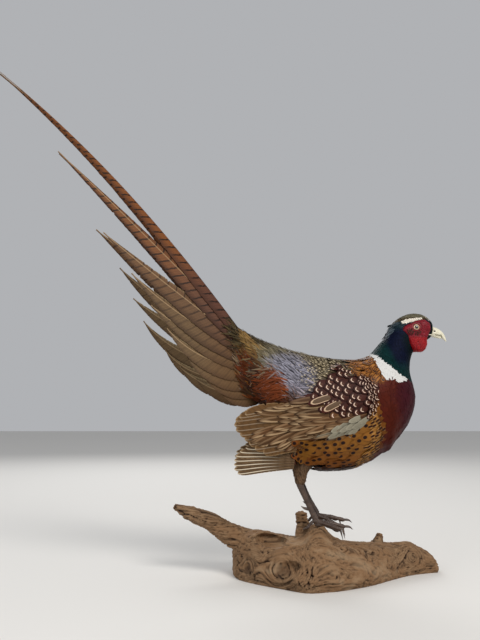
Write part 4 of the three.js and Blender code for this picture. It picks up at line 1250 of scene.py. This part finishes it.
# Bill: the upper sheath overhangs the lower and ends in a hook, with a nostril under a soft flap.
BILL_BASE = (141.5, 317.0)
BILL_HALF_WIDTH = 6.2
BILL_DROP = 19
UPPER_BILL = {"start": -1.4, "length": 19.5, "width": 1.0}
LOWER_BILL = {"start": -3.4, "length": 15.6, "width": 0.86}
BILL_ROWS, BILL_AROUND = 60, 36


def bill_sheath(name, shape, upper):
    """One sheath of the bill, the upper with its nostrils and hook."""
    t = np.linspace(0, 1, BILL_ROWS)[:, None]
    x = BILL_BASE[0] + shape["start"] + shape["length"] * t
    ridge = BILL_BASE[1] - BILL_DROP * (0.6 * t ** 1.8 + 0.4 * t ** 10)
    gape = BILL_BASE[1] - 10.4 - 1.2 * t
    if upper:
        hook = 4.2 * fade(t, 0.64, 0.78) + 3.9 * np.maximum(0, t - 0.76) / 0.24
        low, high = gape - hook - 0.3, ridge
    else:
        low, high = BILL_BASE[1] - 12 - 3.7 * (1 - (1 - t) ** 2), gape - 0.3
    high = np.maximum(high, low + 0.6)
    half = BILL_HALF_WIDTH * shape["width"] * (1 - 0.93 * t ** 1.5)
    a = 2 * math.pi * np.arange(BILL_AROUND) / BILL_AROUND
    rise = np.sin(a)[None, :]
    arch = np.maximum(rise, 0) ** 0.8 if upper else 1 - np.maximum(-rise, 0) ** 0.8
    share = arch if upper else np.where(rise > 0, 1.0, arch)
    z = low + (high - low) * share
    y = half * np.sign(np.cos(a)) * np.abs(np.cos(a)) ** 0.85
    nostril = np.exp(-(((t - 0.16) / 0.075) ** 2) - ((share - 0.42) / 0.15) ** 2) * upper
    flap = np.exp(-(((t - 0.19) / 0.11) ** 2) - ((share - 0.66) / 0.12) ** 2) * upper
    y = y + np.sign(y) * (0.55 * flap - 1.3 * nostril)
    # The base is hollowed at the nostril, and the edge along the gape runs back into the face.
    hollowed = 1.8 * np.exp(-(((share - 0.5) / 0.2) ** 2)) if upper else 0
    strip = 5.0 * np.exp(-(((share - (0 if upper else 1)) / 0.28) ** 2))
    x = x + (1 - t) ** 5 * (hollowed - strip) + 0 * z
    rings = np.stack([x, y + 0 * z, z], -1)
    piece = piece_from(name, [skin_over(rings, rings[[0, -1]].mean(1))])
    hollow = np.concatenate([(nostril + 0 * z).ravel(), [0, 0]])
    along = np.concatenate([(t + 0 * z).ravel(), [0, 1]])
    keep_attribute(piece, "bill", np.stack([hollow, along, 0 * along], 1))
    return piece


finish = Finish("bill horn", 0.34, first="cfc9af")
hollow, along, _ = finish.parts("bill")
growth = finish.noise((90, 700, 700))
finish.paint("dedac6", finish.rise(growth, 0.3, 0.7))
finish.paint("8c8068", finish.rise(along, 0.16, 0.0), 0.6)
# Painted shade: the nostril is darkened where the sheath is hollowed in.
finish.paint("33261c", finish.rise(hollow, 0.25, 0.7))
finish.bump(growth, 0.15, 0.0002)
dress(bill_sheath("upper_bill", UPPER_BILL, True), finish, "bill", "bill_upper")
dress(bill_sheath("lower_bill", LOWER_BILL, False), finish, "bill", "bill_lower")

# The pale corner of the gape runs back from the bill over the feathers on each side.
CORNER_ROWS, CORNER_AROUND = 14, 10
for side, label in SIDES:
    t = np.linspace(0, 1, CORNER_ROWS)
    middle = np.stack([143.2 - 9.6 * t, np.full(len(t), 4.9), 305.7 - 0.5 * t], 1)
    for spot in middle:
        hit = from_side(body_form[0], spot[0], spot[2], side)
        if hit is not None:
            spot[1] = max(spot[1], side * hit[1] - 0.1)
    a = 2 * math.pi * np.arange(CORNER_AROUND) / CORNER_AROUND
    size = (1 - t[:, None]) ** 0.6 + 0.16
    ring = middle[:, None] + np.stack([0 * size * a, 0.7 * size * np.cos(a), 1.15 * size * np.sin(a)], -1)
    ring[..., 1] *= side
    corner = piece_from("gape_corner_" + label, [skin_over(ring, ring[[0, -1]].mean(1))])
    keep_attribute(corner, "bill", np.tile([0.0, 0.12, 0.0], (len(corner.data.vertices), 1)))
    dress(corner, finish, "bill")


# ---------------------------------------------------------------- flight feathers
# Folded quills of the wing: stiff vanes on pale shafts, the secondaries lying over the primaries
# and each feather over the one below it. They slide in under the coverts.
FLIGHT_ROWS = 46
QUILL_RING = [-1.0, -0.55, -0.08, 0.0, 0.08, 0.55, 1.0]
UNDER_RING = [0.5, 0.0, -0.5]
QUILL_THICK = 0.5
# Tips of the feathers from the back down, as (x, z); roots follow the rear edge of the wing arm.
SECONDARY_TIPS = [
    (-104, 203.5), (-111, 200), (-115.5, 196), (-117, 190.5), (-115, 184.5), (-110, 179), (-104.5, 173.5),
    (-99, 168), (-92, 162.5), (-82, 158),
]
PRIMARY_TIPS = [
    (-103, 163), (-110, 158.5), (-115, 153.5), (-117, 148), (-117.3, 142.6), (-117, 137.2), (-113, 132.4),
]


def frayed(shape, ripple, odds, low, high):
    """How far a vane's edge is worn out or in: small ripples, and here and there a deep gap."""
    ripples = chance.normal(0, ripple, shape)
    return ripples - (chance.uniform(0, 1, shape) < odds) * chance.uniform(low, high, shape)


def gathered(columns, shaft):
    """Columns of a vane drawn towards a shaft that lies off its middle."""
    return np.array(columns) + shaft * (1 - np.abs(columns))


def flight_finish(name, pale):
    """A brown quill, finely lined, whose shaft shows pale by a share."""
    finish = Finish(name, 0.55, 0.15)
    across, along, rim = finish.parts("vane")
    far_side = finish.calc("ABSOLUTE", across)
    barb = finish.calc("SUBTRACT", along, finish.times(far_side, 0.9))
    fine, soft = (finish.calc("SINE", finish.times(barb, pace)) for pace in (5.5, 0.9))
    finish.colour = finish.kept("ground", "Color")
    finish.paint("160e08", finish.calc("ADD", fine, 1.0), 0.09)
    finish.paint("2a1c10", finish.rise(soft, 0.2, 0.9), 0.22)
    finish.paint("b89a70", finish.rise(rim, 0.82, 0.97), 0.32)
    finish.paint("dccdb4", finish.rise(far_side, 0.75, 0.35), finish.rise(along, 8.0, 40.0), pale)
    return finish


def folded_fan(kind, side, label, tips, roots, half_width, shaft, code, stack, finish):
    """One folded set of quills on one wing, laid on the outer face of its solid. The shaft says
    where between the edges of a vane, -1 to 1, its shaft runs."""
    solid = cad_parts[f"{kind}_{label}"].data
    places = [[c / MM for c in v.co] for v in solid.vertices]
    solid_tree = BVHTree.FromPolygons(places, [list(p.vertices) for p in solid.polygons])
    count = len(tips)
    t = np.linspace(0, 1, FLIGHT_ROWS)
    line = np.empty((count, FLIGHT_ROWS, 3))
    for i, (tip_x, tip_z) in enumerate(tips):
        root_x, root_z = (low + (high - low) * i / (count - 1) for low, high in zip(*roots))
        x = root_x + (tip_x - root_x) * t
        z = root_z + (tip_z - root_z) * t + 2.2 * np.sin(math.pi * t)
        outer = []
        for px, pz in zip(x, z):
            nearest = solid_tree.find_nearest(Vector((px, side * 55, pz)))[0]
            outer.append(abs((from_side(solid_tree, px, pz, side) or nearest)[1]))
        outer = np.convolve(np.pad(outer, 3, mode="edge"), np.ones(7) / 7, "valid")
        y = outer - 0.3 - stack * i - 2.5 * fade(x, -62, -50) * (kind == "secondaries")
        line[i] = np.c_[x, side * y, z]
    lie = np.gradient(line, axis=1)
    lie /= np.linalg.norm(lie, axis=2)[..., None]
    across = np.cross([-0.05, side, 0], lie)
    across /= np.linalg.norm(across, axis=2)[..., None]
    fray = frayed((count, FLIGHT_ROWS, 2), 0.03, 0.035, 0.1, 0.4)
    row = np.ones((count, FLIGHT_ROWS, 1))
    top, under = (gathered(ring, shaft * side) * row for ring in (QUILL_RING, UNDER_RING))
    top[..., 0] -= fray[..., 0]
    top[..., -1] += fray[..., 1]
    ridge = (0.9 - 0.7 * t)[:, None] * np.exp(-((np.array(QUILL_RING) / 0.1) ** 2))
    rise = np.concatenate([(1 - 0.7 * np.abs(QUILL_RING)) / 2 + ridge, -0.5 + 0 * under[0]], 1) * QUILL_THICK
    column = np.concatenate([top, under], 2)
    half = half_width * outline_at(t, 0.45, 0.7, 2.6)[0][:, None]
    up = np.cross(lie, across)[:, :, None]
    rings = line[:, :, None] + across[:, :, None] * (column * half)[..., None] + up * rise[..., None]
    end = np.clip((t - 0.7) / 0.3, 0, 1)[:, None]
    far = 60 * t[:, None] + 0 * column
    vane = np.stack([(column - shaft * side) * half, far, np.maximum(np.abs(column), end)], -1)
    tint = ink(code) * np.ones(vane.shape) * (1 + chance.normal(0, 0.06, (count, 1, 1, 1)))
    ground = np.concatenate([tint, np.ones((*column.shape, 1))], -1)
    place = (np.arange(count)[:, None, None] + 0.5 + 0.42 * np.clip(column, -1, 1)) / count
    unwrap = np.stack([place, 0.01 + 0.98 * t[:, None] + 0 * column], -1)
    vanes_from(f"{kind}_quills_{label}", rings, finish, {"vane": vane, "ground": ground}, unwrap,
               "flight_feather", f"{kind}_{label}")


# Roots of the first and last feather in each set, as (x, z), and how far each lies under the last.
SECONDARY_ROOTS, SECONDARY_STACK = ((-46, 213), (-42, 162)), 0.16
PRIMARY_ROOTS, PRIMARY_STACK = ((-43, 156.5), (-45, 140)), 0.18
secondary_finish = flight_finish("secondaries", 0.2)
primary_finish = flight_finish("primaries", 0.8)
for side, label in SIDES:
    folded_fan("secondaries", side, label, SECONDARY_TIPS, SECONDARY_ROOTS, 6.6, -0.35, "5e4224",
               SECONDARY_STACK, secondary_finish)
    folded_fan("primaries", side, label, PRIMARY_TIPS, PRIMARY_ROOTS, 4.6, -0.45, "58422b", PRIMARY_STACK,
               primary_finish)

# ---------------------------------------------------------------- tail
# Eighteen long stiff feathers in nine pairs, folded like a roof. The middle pair is the longest,
# and each pair lies under the one before. They are rooted in the rump and wired to stand up.
TAIL_PAIRS = 9
TAIL_YAW = math.radians(8.9)
TAIL_ROOT = np.array([-106, 0, 303.4])
TAIL_LENGTH = [471.5, 342.7, 234.5, 184.4, 149.2, 127.8, 103.5, 83.7, 60.7]
TAIL_ROOT_ANGLE = [53.1, 45.5, 34.5, 23.6, 19, 4.5, -4.8, -6.8, -7.6]
TAIL_TIP_ANGLE = [38.4, 43.7, 42.1, 47.8, 43, 54.5, 57, 53.6, 46.9]
TAIL_LEFT_LIFT = [0, 1.7, 3.4, 4.2, 4.2, 3.2, 0, 0, 6]
TAIL_LEFT_LONGER = [1, 1.03, 1.1, 1.14, 1.2, 1.27, 1.22, 1.25, 1.35]
TAIL_BEND = 1.33
TAIL_STEP = (2.06, 9.9)  # each root lies this far forward of and below the one before
TAIL_STACK = 1.5
ROOF_ROUND, ROOF_SLOPE, ROOF_ABOVE = 8, 0.48, 2
VANE_HALF = [15, 14.5, 14, 13.5, 13, 12.5, 12, 11.5, 11]
TAIL_ROWS = 150
TAIL_SHAFT = -0.42
# Height of each column of a tail vane above and below its middle, the shaft standing highest.
VANE_LIFT = [0.1, 0.24, 0.36, 0.75, 0.36, 0.24, 0.1, -0.3, -0.36, -0.3]
SHAFT_COLUMN = 3
OUTERNESS = [0, 0.1, 0.45, 0.8, 1, 1, 1, 1, 1]  # how far each pair has the outer feathers' colours
BAR_STRENGTH = [0.9, 0.85, 0.6, 0.35, 0.25, 0.2, 0.15, 0.1, 0.1]
BAR_PITCH = 13.0


def tail_quill(pair, side, rows):
    """Points and angles of one quill in the tail's own upright plane."""
    length = TAIL_LENGTH[pair] * (TAIL_LEFT_LONGER[pair] if side > 0 else 1)
    root = TAIL_ROOT_ANGLE[pair] + (TAIL_LEFT_LIFT[pair] if side > 0 else 0)
    t = np.linspace(0, 1, rows)
    angle = np.radians(root + (TAIL_TIP_ANGLE[pair] - root) * t ** TAIL_BEND)
    step = length / (rows - 1)
    u = -TAIL_STEP[0] * pair + np.concatenate([[0], np.cumsum(np.cos(angle[1:]) * step)])
    z = -TAIL_STEP[1] * pair + np.concatenate([[0], np.cumsum(np.sin(angle[1:]) * step)])
    return u, z, angle, length


ridge_u, ridge_z, ridge_angle, _ = tail_quill(0, -1, 41)


def on_roof(u, z, pair):
    """Moves points of a feather's vane to its layer under the ridge: u, z and distance out."""
    end = np.clip(np.searchsorted(ridge_u, u, "right"), 1, len(ridge_u) - 1)
    start = end - 1
    share = (u - ridge_u[start]) / (ridge_u[end] - ridge_u[start])
    lean = ridge_angle[start] + (ridge_angle[end] - ridge_angle[start]) * share
    level = ridge_z[start] + (ridge_z[end] - ridge_z[start]) * share
    depth = (level - z) * np.cos(ridge_angle[start]) + ROOF_ABOVE
    short = np.maximum(0, 0.4 + 3.5 * pair - depth)
    depth = depth + short
    turn = ROOF_ROUND * 0.59
    curved = np.sqrt(np.maximum(2 * ROOF_ROUND * depth - depth ** 2, 0))
    out = np.where(depth < turn, curved, ROOF_ROUND * 0.912 + ROOF_SLOPE * (depth - turn))
    return u + np.sin(lean) * short, z - np.cos(lean) * short, np.maximum(0.4, out - TAIL_STACK * pair)


finish = Finish("tail feather", 0.55, 0.15)
across, along, rim = finish.parts("vane")
wobble = finish.times(finish.noise((160, 160, 160), 2.0), 5.0)
far_side = finish.calc("ABSOLUTE", across)
barb = finish.calc("SUBTRACT", along, finish.times(far_side, 0.55))
phase = finish.calc("ADD", finish.times(barb, 2 * math.pi / BAR_PITCH), finish.times(wobble, 0.25))
bars = finish.rise(finish.calc("SINE", phase), 0.72, 0.9)
lines = finish.calc("SINE", finish.times(barb, 6.5))
slow, slower = (finish.calc("SINE", finish.times(barb, pace)) for pace in (2.3, 0.71))
lines = finish.calc("ADD", lines, finish.times(slow, slower, 1.4))
finish.colour = finish.kept("ground", "Color")
finish.paint("160c07", finish.calc("ADD", lines, 1.6), 0.1)
finish.paint("1b0e08", bars, finish.rise(far_side, 19.0, 11.0), finish.kept("bars"))
finish.paint("a58a68", finish.rise(far_side, 0.9, 0.4), 0.55)

TAIL_INKS = {
    "base": "5c3a2c", "orange": "7a4822", "edge": "45220f", "buff": "684d31", "olive": "6b573c",
    "dark": "24160e", "pale": "94805f",
}
TAIL_INKS = {name: ink(code) for name, code in TAIL_INKS.items()}
back = np.array([-math.cos(TAIL_YAW), -math.sin(TAIL_YAW), 0])
left = np.array([-math.sin(TAIL_YAW), math.cos(TAIL_YAW), 0])
up = np.array([0, 0, 1])
for side, label in SIDES:
    rings, vanes, grounds, barred, unwraps = [], [], [], [], []
    for pair in range(TAIL_PAIRS):
        u, z, angle, length = tail_quill(pair, side, TAIL_ROWS)
        t = np.linspace(0, 1, TAIL_ROWS)
        swell = 0.6 + 0.4 * np.sin(math.pi * np.minimum(0.5, 0.1 + t * 1.3))
        start, power = (0.15, 1.0) if pair < 2 else (0.35, 1.3)
        taper = np.maximum(0.06, 1 - (np.maximum(0, t - start) / (1 - start)) ** power)
        half = VANE_HALF[pair] * swell * taper
        column = np.concatenate([gathered(QUILL_RING, TAIL_SHAFT), UNDER_RING]) * np.ones((TAIL_ROWS, 1))
        fray = frayed((TAIL_ROWS, 2), 0.02, 0.04, 0.05, 0.22)
        column[:, 0] -= fray[:, 0]
        column[:, len(QUILL_RING) - 1] += fray[:, 1]
        pu = u[:, None] + np.sin(angle)[:, None] * column * half[:, None]
        pz = z[:, None] - np.cos(angle)[:, None] * column * half[:, None]
        pu, pz, out = on_roof(pu, pz, pair)
        lift = VANE_LIFT * np.ones((TAIL_ROWS, 1))
        lift[:, SHAFT_COLUMN] *= 1 - 0.6 * t
        out = side * np.maximum(0.3, out + lift)
        rings.append(TAIL_ROOT + back * pu[..., None] + left * out[..., None] + up * pz[..., None])
        down = (t * length)[:, None] + 0 * column
        vanes.append(np.stack([(column - TAIL_SHAFT) * half[:, None], down, np.abs(column)], -1))
        outer = OUTERNESS[pair]
        colour = TAIL_INKS["base"] * np.ones((*column.shape, 3))
        for name, share in (
            ("orange", fade(down, 60, 170) * (1 - outer)),
            ("buff", outer + 0 * down),
            ("olive", fade(down, 30, 90) * outer * 0.7),
            ("edge", fade(np.abs(column), 0.55, 1.0) * (0.75 if pair < 2 else 0.3)),
            ("pale", fade(-column, 0.72, 0.98) * outer * fade(down, 20, 60)),
            ("dark", fade(column, 0.3, 1.0) * (0.55 if pair in (1, 2, 3) else 0.3)),
            ("dark", fade(down / length, 0.75, 1.0) * 0.35),
        ):
            colour = mixed(colour, TAIL_INKS[name], share)
        grounds.append(np.concatenate([colour, np.ones((*column.shape, 1))], -1))
        barred.append(BAR_STRENGTH[pair] + 0 * column)
        across = (pair + 0.5 + 0.42 * np.clip(column, -1, 1)) / TAIL_PAIRS
        unwraps.append(np.stack([across, 0.01 + 0.98 * t[:, None] + 0 * column], -1))
    fields = {"vane": np.array(vanes), "ground": np.array(grounds), "bars": np.array(barred)}
    solids = [f"tail_{label}_{pair + 1}" for pair in range(TAIL_PAIRS)]
    vanes_from("tail_feathers_" + label, np.array(rings), finish, fields, np.array(unwraps), "tail_feather",
               *solids)

# ---------------------------------------------------------------- floor, light and camera
# A plain pale floor with large soft lamps, seen from the bird's right side.
floor_finish = Finish("studio floor", 0.9, 0.1)
floor_finish.set("Base Color", linear("dcdad6"))
bpy.ops.mesh.primitive_plane_add(size=14, location=(0, 0, 0))
floor = bpy.context.object
floor.name = "studio_floor"
floor.data.materials.append(floor_finish.material)

world = bpy.data.worlds.new("studio air")
world.use_nodes = True
air = world.node_tree.nodes["Background"].inputs
air["Color"].default_value = linear("e6e8ec")
air["Strength"].default_value = 0.55
bpy.context.scene.world = world


def lamp(name, at, aim, size, power, tint):
    light = bpy.data.lights.new(name, "AREA")
    light.size, light.energy, light.color = size, power, tint
    made = bpy.data.objects.new(name, light)
    made.location = at
    made.rotation_euler = (Vector(aim) - Vector(at)).to_track_quat("-Z", "Y").to_euler()
    bpy.context.scene.collection.objects.link(made)


lamp("key lamp", (0.9, -1.6, 1.7), (-0.05, 0, 0.28), 0.9, 40, (1.0, 0.97, 0.93))
lamp("fill lamp", (-1.7, -1.2, 0.9), (-0.1, 0, 0.3), 1.4, 12, (0.94, 0.97, 1.0))
lamp("back lamp", (-0.4, 1.7, 1.5), (-0.1, 0, 0.3), 1.2, 16, (1.0, 1.0, 1.0))

camera = bpy.data.objects.new("camera", bpy.data.cameras.new("camera"))
camera.data.sensor_width = 36
camera.data.lens = 36.62
camera.location = (-0.110, -0.846, 0.204)
camera.rotation_euler = (math.radians(98.2), 0, 0)
bpy.context.scene.collection.objects.link(camera)
bpy.context.scene.camera = camera
bpy.context.scene.view_settings.view_transform = "Standard"

bpy.context.view_layer.update()
